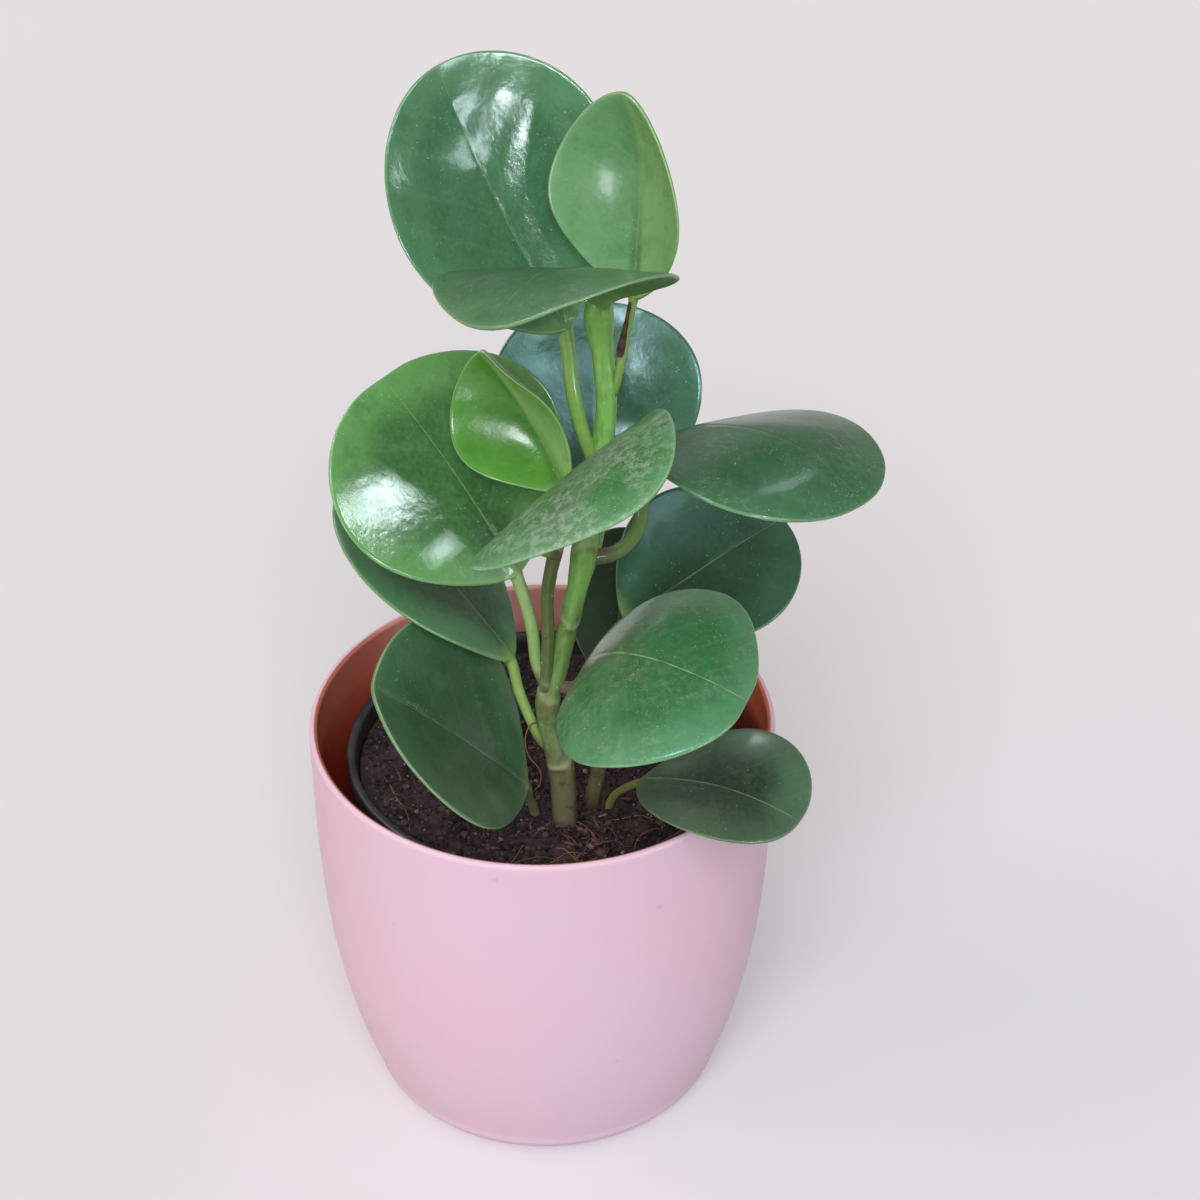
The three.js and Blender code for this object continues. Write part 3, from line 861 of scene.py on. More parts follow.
# %% Scatter chips and fibres
CHIPS, CHIPS_IN_CLUSTER, CHIP_RINGS = 90, 0.35, 5
FIBRES, FIBRES_IN_CLUSTER, FIBRE_RINGS = 52, 0.4, 12
BIT_SIDES = 6
CLUSTER = (13.0, -41.0)
CLUSTER_SPREAD = 7.0


def chip_rings(x, y):
    """A splinter of a few uneven flat rings along its length."""
    length, width = rng.uniform(2.0, 6.5), rng.uniform(0.7, 1.7)
    turn, tilt = rng.random() * math.pi * 2, rng.normal() * 0.25
    out = []
    for s in np.linspace(-0.5, 0.5, CHIP_RINGS):
        taper = (1 - (2 * abs(s)) ** 3 * 0.7) * rng.uniform(0.75, 1.1)
        ring = []
        for a in even_angles(BIT_SIDES):
            p, q = math.cos(a) * width / 2 * taper, math.sin(a) * width * 0.22 * taper
            along = s * length
            ring.append((x + along * math.cos(turn) - p * math.sin(turn),
                         y + along * math.sin(turn) + p * math.cos(turn), q + along * tilt))
        out.append(ring)
    out = np.array(out)
    out[:, :, 2] += float(soil_height(x, y)) + width * 0.25 + abs(tilt) * length * 0.2
    return out


def fibre_rings(x, y):
    """A strand that wanders over the peat in one low arch."""
    length, heading = rng.uniform(5, 17), rng.random() * 2 * math.pi
    radius, lift, turn = rng.uniform(0.07, 0.15), rng.uniform(0.2, 1.8), rng.normal() * 0.05
    line = []
    step = length / (FIBRE_RINGS - 1)
    for _ in range(FIBRE_RINGS):
        line.append((x, y, 0.0))
        x += step * math.cos(heading)
        y += step * math.sin(heading)
        heading += turn + rng.normal() * 0.11
    line = np.array(line)
    line[:, :2] *= min(1, SOIL_EDGE * 0.96 / max(np.hypot(line[:, 0], line[:, 1])))
    arch = np.sin(np.linspace(0, math.pi, FIBRE_RINGS)) * lift
    line[:, 2] = soil_height(line[:, 0], line[:, 1]) + arch - 0.1
    return rings_on(line, radius, BIT_SIDES, (0.2, 0.3, 1))


def strew(maker, count, in_cluster):
    """Many small skins on the peat as one, a share of them in the cluster."""
    skins = []
    for i in range(count):
        x, y = spot_on_soil(0.94)
        if i < count * in_cluster:
            x, y = np.array(CLUSTER) + rng.normal(size=2) * CLUSTER_SPREAD
        points, faces = skin_of(maker(x, y))
        skins.append((points, faces, {"tone": [rng.random()] * len(points)}))
    return joined(skins)


chip_skin = toned_bits("bark_chip", paint(74, 52, 46), paint(120, 84, 68), paint(170, 128, 104))
fibre_skin = toned_bits("root_fibre", paint(104, 78, 58), paint(150, 118, 88), paint(196, 160, 122))
for name, maker, count, in_cluster, skin in (
    ("bark_chips", chip_rings, CHIPS, CHIPS_IN_CLUSTER, chip_skin),
    ("peat_fibres", fibre_rings, FIBRES, FIBRES_IN_CLUSTER, fibre_skin),
):
    points, faces, tones = strew(maker, count, in_cluster)
    make_piece(name, points, faces, "soil", skin, (), tones)
    print(name, "holds", count)

# %% [markdown]
# ## The stems
# The stems are fleshy and almost smooth. They swell a little at each node, where a leaf was or is,
# and keep a thin brown scar there with a paler collar above it. The bottom of the plant is old and
# brownish olive, the top is fresh green. The curve and the radii are those of the solid. Rings of
# 32 points at every 0.6 mm leave room for the scars to be real dents instead of paint alone.

# %% Sweep a stem with its nodes
MAIN_STEM = [
    ((7, -30, 100), 3.6), ((7, -30, 112), 3.8), ((6, -29, 131), 3.7), ((3, -28, 144), 2.9),
    ((2, -27, 154), 3.2), ((5, -26, 165), 2.9), ((8, -25, 179), 2.8), ((11, -24, 193), 2.9),
    ((13, -23, 204), 3.7), ((15, -21, 219), 3.1), ((18, -19, 235), 2.9), ((19, -17, 249), 2.8),
    ((18, -14, 262), 3.0), ((17, -12, 271), 4.2),
]
LEFT_SHOOT = [
    ((2, -27, 156), 1.8), ((2, -28, 166), 1.8), ((2.6, -27.5, 178), 1.75), ((2.6, -27, 192), 1.75),
    ((4.5, -27, 204), 1.9), ((7, -26, 215), 1.9),
]
SIDE_STEM = [
    ((15, -20, 100), 2.4), ((15, -20, 112), 2.4), ((17, -18, 123), 2.3), ((18, -15, 135), 2.2),
    ((19, -12, 148), 2.0), ((21, -9, 158), 1.8),
]
STEM_AROUND, STEM_STEP = 32, 0.6
# half widths at a node, and how far above it the collar and the stain lie; heights of the relief
SCAR_WIDTH, SWELL_WIDTH = 0.7, 3.6
COLLAR_RISE, COLLAR_WIDTH = 1.8, 1.2
STAIN_RISE, STAIN_WIDTH = 1.0, 5.0
RIBS, RIB_HEIGHT, LUMP_HEIGHT = 5, 0.1, 0.14


def hump(away, width):
    """A smooth hump: 1 in its middle and about a third at its half width."""
    return np.exp(-((away / width) ** 2))


def stem_rings(rows, nodes):
    """Rings along a stem, and for each point how strongly it belongs to a scar, a collar and a stain.
    Each node is a height, the swelling there as a share, the depth of its scar and its slant in mm."""
    line, share = curve_through([at for at, _ in rows], STEM_STEP)
    radius = np.interp(share, range(len(rows)), [r for _, r in rows])
    angle = even_angles(STEM_AROUND)
    z = line[:, 2:3] + 0.5 * np.sin(angle * 2 + line[:, 2:3] * 0.4)
    scar, collar, stain, swell = (np.zeros_like(z) for _ in range(4))
    patches = plane_noise(6 * np.cos(angle) + 20, z + 6 * np.sin(angle), 3.1)
    patchy = np.clip(0.75 + 1.1 * patches, 0, 1)
    for height, amount, depth, slant in nodes:
        away = z - height - slant * np.sin(angle + height)
        scar += depth * hump(away, SCAR_WIDTH) * patchy
        collar += hump(away - COLLAR_RISE, COLLAR_WIDTH) * min(1, depth / 0.2)
        stain += hump(away - STAIN_RISE, STAIN_WIDTH) * patchy * min(1, depth / 0.12)
        swell += amount * hump(away, SWELL_WIDTH)
    ribs = RIB_HEIGHT * np.sin(angle * RIBS + line[:, 2:3] * 0.05)
    ribs = ribs + LUMP_HEIGHT * plane_noise(angle * 3, z, 2.3)
    r = radius[:, None] * (1 + swell) + ribs - scar
    return rings_on(line, r, STEM_AROUND, (1, 0, 0)), scar, collar, stain


def stem_part(rows, nodes, age):
    """The skin of one stem with its stored values. age is 1 for a stem that has gone brown, and is
    given at its foot, middle and top."""
    rings, scar, collar, stain = stem_rings(rows, nodes)
    points, faces = skin_of(rings)
    share = np.linspace(0, 2, len(rings))[:, None] + np.zeros(STEM_AROUND)
    values = {
        "scar": with_caps(np.clip(scar * 5, 0, 1)),
        "collar": with_caps(np.clip(collar, 0, 1)),
        "stain": with_caps(np.clip(stain, 0, 1)),
        "height": with_caps(rings[:, :, 2]),
        "age": with_caps(np.interp(share, (0, 1, 2), age)),
    }
    return points, faces, values


MAIN_NODES = [
    (133, 0.08, 0.2, 0.6), (156, 0.2, 0.1, 1.5), (182, 0.05, 0.14, 2.2), (204, 0.04, 0.1, 2.0),
    (252, 0.03, 0.02, 1.2),
]
SHOOT_NODES = [(160, 0.12, 0.08, 0.8), (207, 0.1, 0.12, 0.8)]
SIDE_NODES = [(127, 0.1, 0.12, 0.7), (149, 0.12, 0.12, 0.7)]
# the top of the main stem narrows into the stalk of the front crown leaf
STEM_TIP = [((17, -12.4, 274.5), 3.9), ((17.5, -13.2, 278), 2.9), ((18, -14, 281), 1.6)]
main_skin = joined([
    stem_part(MAIN_STEM + STEM_TIP, MAIN_NODES, (0.0, 0.0, 0.0)),
    stem_part(LEFT_SHOOT, SHOOT_NODES, (0.4, 0.75, 0.9)),
])
side_skin = stem_part(SIDE_STEM, SIDE_NODES, (0.9, 0.2, 0.5))
print("the main stem has", len(main_skin[1]), "faces with its shoot")


# %% Mix the stem's skin
def stem_skin():
    """Green that is fresher towards the top, with streaks, brown blotches, scars and dust."""
    material, g, shader = new_material(
        "stem_skin", Roughness=0.38, Specular_IOR_Level=0.5, Subsurface_Weight=0.12,
        Subsurface_Radius=(0.6, 1.0, 0.3), Subsurface_Scale=0.0015,
    )
    height = g.read("height")
    fresh = g.blend(g.spread(height, 158.0, 215.0), paint(110, 146, 76), paint(140, 202, 98))
    old = g.blend(g.spread(height, 120.0, 150.0), paint(113, 111, 83), paint(126, 154, 94))
    green = g.blend(g.spread(height, 140.0, 176.0), old, fresh)
    stretched = g.node("Mapping", Vector=g.where(), Scale=(1.0, 1.0, 0.18))
    streak = g.noise(520.0, 3.0, 0.6, where=stretched.outputs["Vector"])
    brown = g.times(g.spread(g.noise(150.0, 3.0, 0.6), 0.52, 0.66), g.spread(height, 185.0, 125.0))
    dust = g.group(SPECKS, Scale=900.0, Amount=0.4, Patchiness=0.6)
    colour = g.coats(
        g.blend(g.read("age"), green, paint(88, 84, 54)),
        (g.spread(streak, 0.5, 0.7), 0.45, paint(96, 96, 52)),
        (brown, 0.75, paint(84, 66, 48)),
        (g.read("stain"), 0.6, paint(112, 86, 62)),
        (g.read("collar"), 0.7, paint(180, 198, 148)),
        (g.read("scar"), 0.8, paint(92, 66, 46)),
        (dust, 0.55, paint(198, 206, 168)),
        (g.spread(height, 119.0, 109.0), 0.85, paint(64, 52, 44)),
    )
    g.feed(shader.inputs["Base Color"], colour)
    g.feed(shader.inputs["Roughness"], g.spread(streak, 0.3, 0.7, 0.32, 0.5))
    add_bump(g, shader, g.group(FINE_SKIN, Pore=0.00004, Wrinkle=0.0001, Swell=0.0001))
    return material


stem_material = stem_skin()
for node, slot, (points, faces, values) in (
    ("main_stem", "stem_green", main_skin), ("side_stem", "stem_old", side_skin)
):
    make_piece(node + "_skin", points, faces, slot, stem_material, [node], values)
    print(node, "has", len(faces), "faces")

# %% [markdown]
# ## The leaves
# A peperomia leaf is a thick waxy disc on a fleshy stalk. Its midrib is a shallow groove above and
# a keel below that runs on from the stalk, its side veins are hardly seen, and its margin is a thin
# rounded edge. It could be a plane with a Solidify modifier and a separate stalk, but then the two
# only poke into each other. Here the leaf is one row of rings from the stem to the tip: round ones
# along the stalk, which flatten and widen quickly into the lens-shaped sections of the blade.
#
# Each leaf has one row of values, the same that shaped its solid. Angles are in degrees. azimuth
# and rise point the midrib at its foot, roll turns the blade about it, arch turns the midrib down
# from foot to tip, cup lifts the margins, fold creases it along the midrib, twist turns the tip,
# egg makes it wider towards the tip, and radius is the stalk's.

# %% List the leaves
LEAF_COLUMNS = (
    "length", "width", "azimuth", "rise", "roll", "arch", "cup", "fold", "twist", "egg", "radius"
)
LEAF_ROWS = {
    # name: foot, the columns above, points of the stalk from the stem to the foot
    "leaf_crown_left": (
        (8, -8, 266), (78, 73, 150, 58, -21, -8, 0.14, 0.07, 2, 0.05, 2.0),
        [(17, -20, 229), (13, -19, 239), (10, -16, 251)]),
    "leaf_crown_young": (
        (26, -13, 278), (57, 47, 67, 59, -17, -46, 0.29, 0.25, -8, -0.14, 1.2),
        [(19, -17, 246), (22, -17, 256), (24, -15, 267)]),
    "leaf_crown_front": (
        (18, -14, 279), (70, 67, -123, 54, 12, 71, -0.09, 0.04, 9, -0.25, 2.5),
        [(17, -12, 266), (17, -12.5, 273)]),
    "leaf_back_upper": (
        (17, -3, 201), (67, 61, 91, 45, 2, 12, 0.1, 0.05, 0, 0.08, 2.0),
        [(12, -23, 194), (15, -12, 195)]),
    "leaf_left_large": (
        (-6, -24, 197), (67, 78, 155, 60, -23, 24, 0.07, 0, 3, 0.04, 1.8),
        [(3, -27, 158), (-0.5, -27, 168), (-2, -27, 182)]),
    "leaf_left_young": (
        (8, -29, 228), (46, 41, 111, 31, -54, -42, 0.24, 0.39, -31, 0.12, 2.1),
        [(7, -26, 212), (7.5, -26.5, 220)]),
    "leaf_middle_front": (
        (-3, -38.5, 218.5), (73, 69, -65, 71, 19, 69, -0.13, 0.04, 21, -0.25, 1.7),
        [(5, -27, 206), (2, -32.5, 211)]),
    "leaf_right_upper": (
        (28, -10.5, 229), (74, 82, -12, 43, -24.5, 86.5, -0.05, -0.09, 10.5, 0.07, 2.2),
        [(13, -23, 202), (22, -20, 202), (28, -16.5, 208), (28.5, -13, 218)]),
    "leaf_right_back": (
        (25, -6, 168), (61, 55, 35, 18, 23, 16, 0.07, 0.02, 2, -0.1, 1.7),
        [(20, -10, 152), (22, -8, 160)]),
    "leaf_right_front": (
        (13, -28, 166), (73, 70, -88, 58, 59, 103, -0.28, 0.07, -22, 0.12, 1.8),
        [(4, -26, 160), (10, -27, 160)]),
    "leaf_low_right": (
        (29, -34, 131), (54, 48, -33, 32, 4, 49, 0.1, 0.06, 1, 0.12, 1.25),
        [(20, -22, 101), (20, -22, 112), (22, -25, 119)]),
    "leaf_left_under": (
        (-8, -22, 166), (70, 63, 143, 44, 19, 16, -0.1, 0.04, 1, 0.12, 1.6),
        [(4, -28, 137), (0, -27.5, 142), (-3, -26.5, 149), (-6, -24.5, 157)]),
    "leaf_low_left": (
        (-4, -34, 129), (69, 64, 212, 53, -41, 12, 0.07, 0.21, 6, 0.13, 1.5),
        [(-2, -25, 101), (-2, -25, 112), (-3.5, -29, 121)]),
    "leaf_back_low": (
        (21, 0, 138), (50, 32, 82, 55, 0, 15, 0.08, 0.05, 0, 0.12, 1.4),
        [(18, -16, 128), (19, -8, 131)]),
}
LEAVES = {
    name: dict(zip(LEAF_COLUMNS, numbers), base=foot, stalk=stalk)
    for name, (foot, numbers, stalk) in LEAF_ROWS.items()
}
print(len(LEAVES), "leaves, the largest", max(v["length"] for v in LEAVES.values()), "mm long")

# %% Bend a flat blade into its place
BLADE_THICKNESS, BASE_TAPER, NOTCH_ANGLE = 1.5, 0.45, 0.16
CREASE_SOFTNESS = 0.1


def half_outline(leaf, a):
    """Where the margin is at angle a, 0 at the foot and pi at the tip: along and across, in mm."""
    length, width, egg = leaf["length"], leaf["width"], leaf["egg"]
    wide = (1 - egg * np.cos(a)) / (1 + 0.35 * egg**2)
    narrow = 1 - BASE_TAPER * ((1 + np.cos(a)) / 2) ** 4
    notch = leaf["notch"] * np.exp(-(((a - math.pi) / NOTCH_ANGLE) ** 2))
    return length * (1 - np.cos(a)) / 2 - notch, width / 2 * np.sin(a) * wide * narrow


def bend(leaf, x, y, height):
    """Points of the flat blade, at a height above its middle, in the plant's millimetres."""
    arch, half = math.radians(leaf["arch"]), leaf["width"] / 2
    turn, twist = arch * x / leaf["length"], math.radians(leaf["twist"]) * x / leaf["length"]
    crease = np.sqrt((y / half) ** 2 + CREASE_SOFTNESS**2) - CREASE_SOFTNESS
    lift = half * (leaf["cup"] * (y / half) ** 2 + leaf["fold"] * crease) + height
    across = y * np.cos(twist) - lift * np.sin(twist)
    up = y * np.sin(twist) + lift * np.cos(twist)
    local = np.stack([
        leaf["length"] * np.sin(turn) / arch + up * np.sin(turn), across,
        -leaf["length"] * (1 - np.cos(turn)) / arch + up * np.cos(turn)], -1)
    return local @ leaf_axes(leaf).T + np.array(leaf["base"], float)


def leaf_axes(leaf):
    """Columns are the leaf's own forward, left and up directions at its foot."""
    a, e, r = (math.radians(leaf[k]) for k in ("azimuth", "rise", "roll"))
    swing = np.array([[math.cos(a), -math.sin(a), 0], [math.sin(a), math.cos(a), 0], [0, 0, 1]])
    climb = np.array([[math.cos(e), 0, -math.sin(e)], [0, 1, 0], [math.sin(e), 0, math.cos(e)]])
    lean = np.array([[1, 0, 0], [0, math.cos(r), -math.sin(r)], [0, math.sin(r), math.cos(r)]])
    return swing @ climb @ lean


top_leaf = LEAVES["leaf_crown_left"]
tip = bend(top_leaf, np.array(float(top_leaf["length"])), np.array(0.0), np.array(0.0))
print("the top leaf's tip is at", np.round(tip))

# %% [markdown]
# A glossy leaf shows its shape in its reflections, and a perfect surface looks like plastic. So the
# blade also gets slow waves a few tenths of a millimetre high, a margin that curls a little, a
# groove over the midrib and shallow dips over the side veins. The waves are sums of sines, because
# they have no creases anywhere. Noise from a table has some, and gloss would show them.

# %% Give the blade its relief
CURL = {"leaf_crown_left": 0.5, "leaf_left_large": 0.2, "leaf_right_upper": 0.05}
CURL_DEFAULT, CURL_REACH = 0.35, 6.0
# how high the waves are, and the shortest and longest of them, all in mm
WAVES = {
    "leaf_crown_left": (0.05, 9, 22), "leaf_left_large": (0.05, 20, 45),
    "leaf_crown_young": (0.06, 16, 40), "leaf_left_young": (0.03, 12, 30),
}
WAVES_DEFAULT = (0.14, 14, 36)
NOTCH = {"leaf_left_large": 0.7, "leaf_right_front": 0.7}
NOTCH_DEFAULT = 0.2
# the top leaf is a shallow bowl, and its flesh bulges more between the side veins; the young
# crown leaf swells in one half and sinks in the other; four leaves lie a little lower; all in mm
BOWL = {"leaf_crown_left": 1.2}
RAMP = {"leaf_crown_young": 0.9}
PILLOW, PILLOW_DEFAULT = {"leaf_crown_left": 0.10}, 0.02
SINK = {
    "leaf_crown_left": 1.15, "leaf_right_upper": 0.3, "leaf_low_right": 0.3, "leaf_right_front": 0.3,
}
WAVE_COUNT = 6
# where on the midrib the side veins start, how far they run to the tip and how curved they are
VEIN_STARTS = (0.1, 0.26, 0.43, 0.61, 0.78)
VEIN_REACH, VEIN_CURVE, VEIN_CLOSING = 0.42, 0.85, 0.35
VEIN_WIDTH, VEIN_DEPTH = 1.7, 0.05


def slow_waves(x, y, draw, shortest, longest):
    """Smooth waves in all directions, from about -1 to 1."""
    total = 0.0
    for _ in range(WAVE_COUNT):
        heading, size = draw.random() * math.pi, draw.uniform(shortest, longest)
        phase = draw.random() * 7
        k = 2 * math.pi / size
        total = total + np.sin(k * (x * math.cos(heading) + y * math.sin(heading)) + phase)
    return total / 3


def vein_dips(leaf, x, y):
    """How deep in a side vein's valley a point of the blade is, from 0 to 1."""
    along, across = x / leaf["length"], np.abs(y) / (leaf["width"] / 2)
    total = np.zeros_like(along)
    for start in VEIN_STARTS:
        path = start + VEIN_REACH * across**VEIN_CURVE * (1 - VEIN_CLOSING * start)
        total += hump((along - path) * leaf["length"], VEIN_WIDTH)
    return total * np.clip(across * 6, 0, 1) * np.clip((1 - across) * 3, 0, 1)


def blade_relief(leaf, name, x, y, margin):
    """Height added to both faces of the blade."""
    draw = np.random.default_rng(sum(map(ord, name)))
    wave_height, shortest, longest = WAVES.get(name, WAVES_DEFAULT)
    waves = wave_height * slow_waves(x, y, draw, shortest, longest) * np.clip(x / 12, 0, 1)
    curl = CURL.get(name, CURL_DEFAULT) * np.exp(-((margin / CURL_REACH) ** 2) * 1.5)
    along, across = x / leaf["length"], np.abs(y) / (leaf["width"] / 2)
    inside = np.clip(margin / 10, 0, 1) * np.clip(x / 15, 0, 1)
    bowl = BOWL.get(name, 0) * (1 - (2 * along - 1) ** 2) * inside
    bowl = bowl + RAMP.get(name, 0) * np.sin(2 * math.pi * (along - 0.5)) * inside
    bulges = np.cos(2 * math.pi * (along - 0.18 - 0.38 * across) / 0.17)
    pillow = PILLOW.get(name, PILLOW_DEFAULT) * bulges * inside
    rise = (curl - SINK.get(name, 0)) * np.clip(x / 15, 0, 1)
    return waves + rise - bowl - pillow - VEIN_DEPTH * vein_dips(leaf, x, y)


for name, leaf in LEAVES.items():
    leaf["notch"] = NOTCH.get(name, NOTCH_DEFAULT)
print("side veins start at", VEIN_STARTS, "of the midrib")

# %% Loft a whole leaf
CENTRE_STEPS = np.array([0, 0.35, 0.8, 1.5, 2.4])
MARGIN_STEPS = np.array([1.5, 0.95, 0.5, 0.2, 0.05, 0])
BETWEEN = 11
BLADE_SECTIONS = 92
STALK_STEP = 0.9
MARGIN_ROUND = 1.1
OUTLINE_POINTS = 240
# a stalk widens where it leaves the stem and a little where it meets the blade: shares, mm
STEM_FLARE, STEM_FLARE_REACH, BLADE_FLARE, BLADE_FLARE_REACH = 0.22, 4, 0.06, 6
STALK_TOP, FOOT_DEPTH = 0.9, 0.3
KEEL_START, KEEL_REACH, KEEL_END = 0.95, 0.22, 0.25
GROOVE_DEPTH, GROOVE_WIDTH = 0.16, 0.7
EDGE_THINNING, EDGE_REACH = 0.22, 9
NO_MARGIN, NO_ROOT = 9.0, 99.0  # stored where a point is far from a margin or from the stem


def stations(width):
    """Distances from the midrib to the margin, close together at both."""
    small = min(1.0, width / 9)
    centre, margin = CENTRE_STEPS * small, width - MARGIN_STEPS * small
    return np.concatenate([centre, np.linspace(centre[-1], margin[0], BETWEEN + 2)[1:-1], margin])


def section_across(width):
    """The whole way round a section, across the upper face and back across the lower one, and
    which of its points are on the upper face."""
    half = stations(width)
    upper = np.concatenate([-half[::-1], half[1:]])
    around = np.concatenate([upper, upper[-2:0:-1]])
    return around, np.arange(len(around)) < len(upper)


def stalk_rings(leaf):
    """Round rings on the stalk's curve, carried so that they meet the blade squarely, each with the
    values that the leaf's material reads."""
    r, axes = leaf["radius"], leaf_axes(leaf)
    route = [*leaf["stalk"]]
    for x, depth in ((0.0, FOOT_DEPTH), (5.0, 0.5), (leaf["length"] * 0.2, 0.6)):
        route.append(bend(leaf, np.array(x), np.array(0.0), np.array(-depth)))
    line, share = curve_through(route, STALK_STEP)
    side, up = carried_frames(line[share < len(leaf["stalk"])], axes[:, 1])
    line = line[: len(side)]
    if np.dot(up[-1], axes[:, 2]) < 0:
        up = -up
    to_blade = np.linalg.norm(line - line[-1], axis=1)
    to_stem = np.linalg.norm(line - line[0], axis=1)
    around, is_upper = section_across(r)
    for i in range(len(line) - 1):
        flare = STEM_FLARE * math.exp(-to_stem[i] / STEM_FLARE_REACH)
        flare += BLADE_FLARE * math.exp(-to_blade[i] / BLADE_FLARE_REACH)
        wide = r * (1 + flare)
        y = around / r * wide
        h = np.sqrt(np.maximum(0, wide**2 - y**2)) * np.where(is_upper, STALK_TOP, -1.0)
        yield line[i] + y[:, None] * side[i] + h[:, None] * up[i], {
            "along": -to_blade[i] / 10 - 0.02, "across": y / 40, "rib": np.abs(y),
            "margin": NO_MARGIN, "upper": is_upper, "root": to_stem[i],
        }


def blade_rings(name, leaf):
    """Sections at even angles round the outline, so that they crowd at foot and tip, each with the
    values that the leaf's material reads."""
    length, r = leaf["length"], leaf["radius"]
    edge_x, edge_y = half_outline(leaf, np.linspace(0, math.pi, OUTLINE_POINTS))
    for a in np.linspace(0, math.pi, BLADE_SECTIONS + 1)[2:-1]:
        out_x, out_y = (float(v) for v in half_outline(leaf, a))
        mid_x = (length - leaf["notch"]) * (1 - math.cos(a)) / 2
        width, flat = out_y, 1.0
        if a < math.pi / 2:
            width = math.hypot(out_y, r * math.exp(-mid_x / 4))
            flat = np.clip((width - 1.15 * r) / (2.2 * r), 0, 1)
            flat = flat * flat * (3 - 2 * flat)
        around, is_upper = section_across(width)
        x = mid_x + (out_x - mid_x) * (around / width) ** 2
        inset = width - np.abs(around)
        to_edge = np.hypot(x[:, None] - edge_x, np.abs(around)[:, None] - edge_y).min(1)
        to_edge = np.minimum(to_edge, inset)
        rounding = np.sqrt(1 - (1 - np.clip(inset / min(MARGIN_ROUND, width), 0, 1)) ** 2)
        to_tip = 1 - mid_x / length
        keel = r * KEEL_START * math.exp(-mid_x / (KEEL_REACH * length)) + KEEL_END * to_tip
        keel = keel * hump(around, r + 0.5)
        groove = GROOVE_DEPTH * hump(around, GROOVE_WIDTH) * min(1, mid_x / 6) * to_tip**0.6
        bulge = (r - 0.9) * math.exp(-mid_x / 3.5) * hump(around, r)
        thin = BLADE_THICKNESS / 2 * (1 - EDGE_THINNING * np.clip(1 - to_edge / EDGE_REACH, 0, 1))
        round_h = (1 - flat) * np.sqrt(np.maximum(0, width**2 - around**2)) * r / width
        upper_h = flat * (thin + bulge - groove) * rounding + round_h * STALK_TOP
        lower_h = -flat * (thin + keel) * rounding - round_h
        h = np.where(is_upper, upper_h, lower_h) + flat * blade_relief(leaf, name, x, around, to_edge)
        yield bend(leaf, x, around, h - FOOT_DEPTH * (1 - flat)), {
            "along": x / length, "across": around / (leaf["width"] / 2), "rib": np.abs(around),
            "margin": np.where(flat > 0.5, to_edge, NO_MARGIN), "upper": is_upper, "root": NO_ROOT,
        }


def loft_leaf(name, leaf):
    """One skin from the stem to the tip, with the values that the leaf's material reads."""
    rings, stored = [], {}
    for ring, values in (*stalk_rings(leaf), *blade_rings(name, leaf)):
        rings.append(ring)
        for key, value in values.items():
            stored.setdefault(key, []).append(np.broadcast_to(value, len(ring)))
    points, faces = skin_of(rings)
    return points, faces, {key: with_caps(value) for key, value in stored.items()}


print("a section 60 mm wide has", len(section_across(30.0)[0]), "points")

# %% [markdown]
# ## The leaf's finish
# The upper face is deep waxy green with soft clouds, a pale thin midrib, side veins that are just
# visible, a lighter margin, partly its own paler edge and partly painted light that shines through
# it, and, on older leaves, white specks of lime and dust and a brownish bloom. The under face is
# paler and duller. The stalk is light green and turns brown where it joins the stem. All leaves
# share one recipe, and each gets its own greens and amounts, because young leaves are brighter, and
# because the light and shade that fall on each leaf are painted into its greens: shaded leaves are
# painted darker, the middle of a blade and the valley along its midrib get painted shade, and the
# right half of two young leaves gets painted light.

# %% Draw the veins as a group
def build_veins():
    """Masks for the midrib and the side veins, from the values stored on the leaf."""
    g, inside, out = new_group("leaf_veins", {"Midrib Width": 0.9}, ["Midrib", "Side Veins"])
    along, across = g.read("along"), g.math("ABSOLUTE", g.read("across"))
    width = g.times(inside["Midrib Width"], g.spread(along, 0.0, 1.0, 1.0, 0.35, False))
    line = g.spread(g.read("rib"), width, g.times(width, 0.25))
    ends = g.times(g.spread(along, 0.99, 0.93), g.spread(along, 0.0, 0.05))
    g.feed(out["Midrib"], g.times(line, ends))
    path = g.times(g.math("POWER", across, VEIN_CURVE), VEIN_REACH)
    total = 0.0
    for start in VEIN_STARTS:
        on_vein = g.math("SUBTRACT", along, start)
        on_vein = g.math("SUBTRACT", on_vein, g.times(path, 1 - VEIN_CLOSING * start))
        total = g.math("MAXIMUM", total, g.spread(g.math("ABSOLUTE", on_vein), 0.016, 0.003))
    ends = g.times(g.spread(across, 0.95, 0.7), g.spread(across, 0.02, 0.12))
    g.feed(out["Side Veins"], g.times(total, ends))
    return g.tree


VEINS = build_veins()
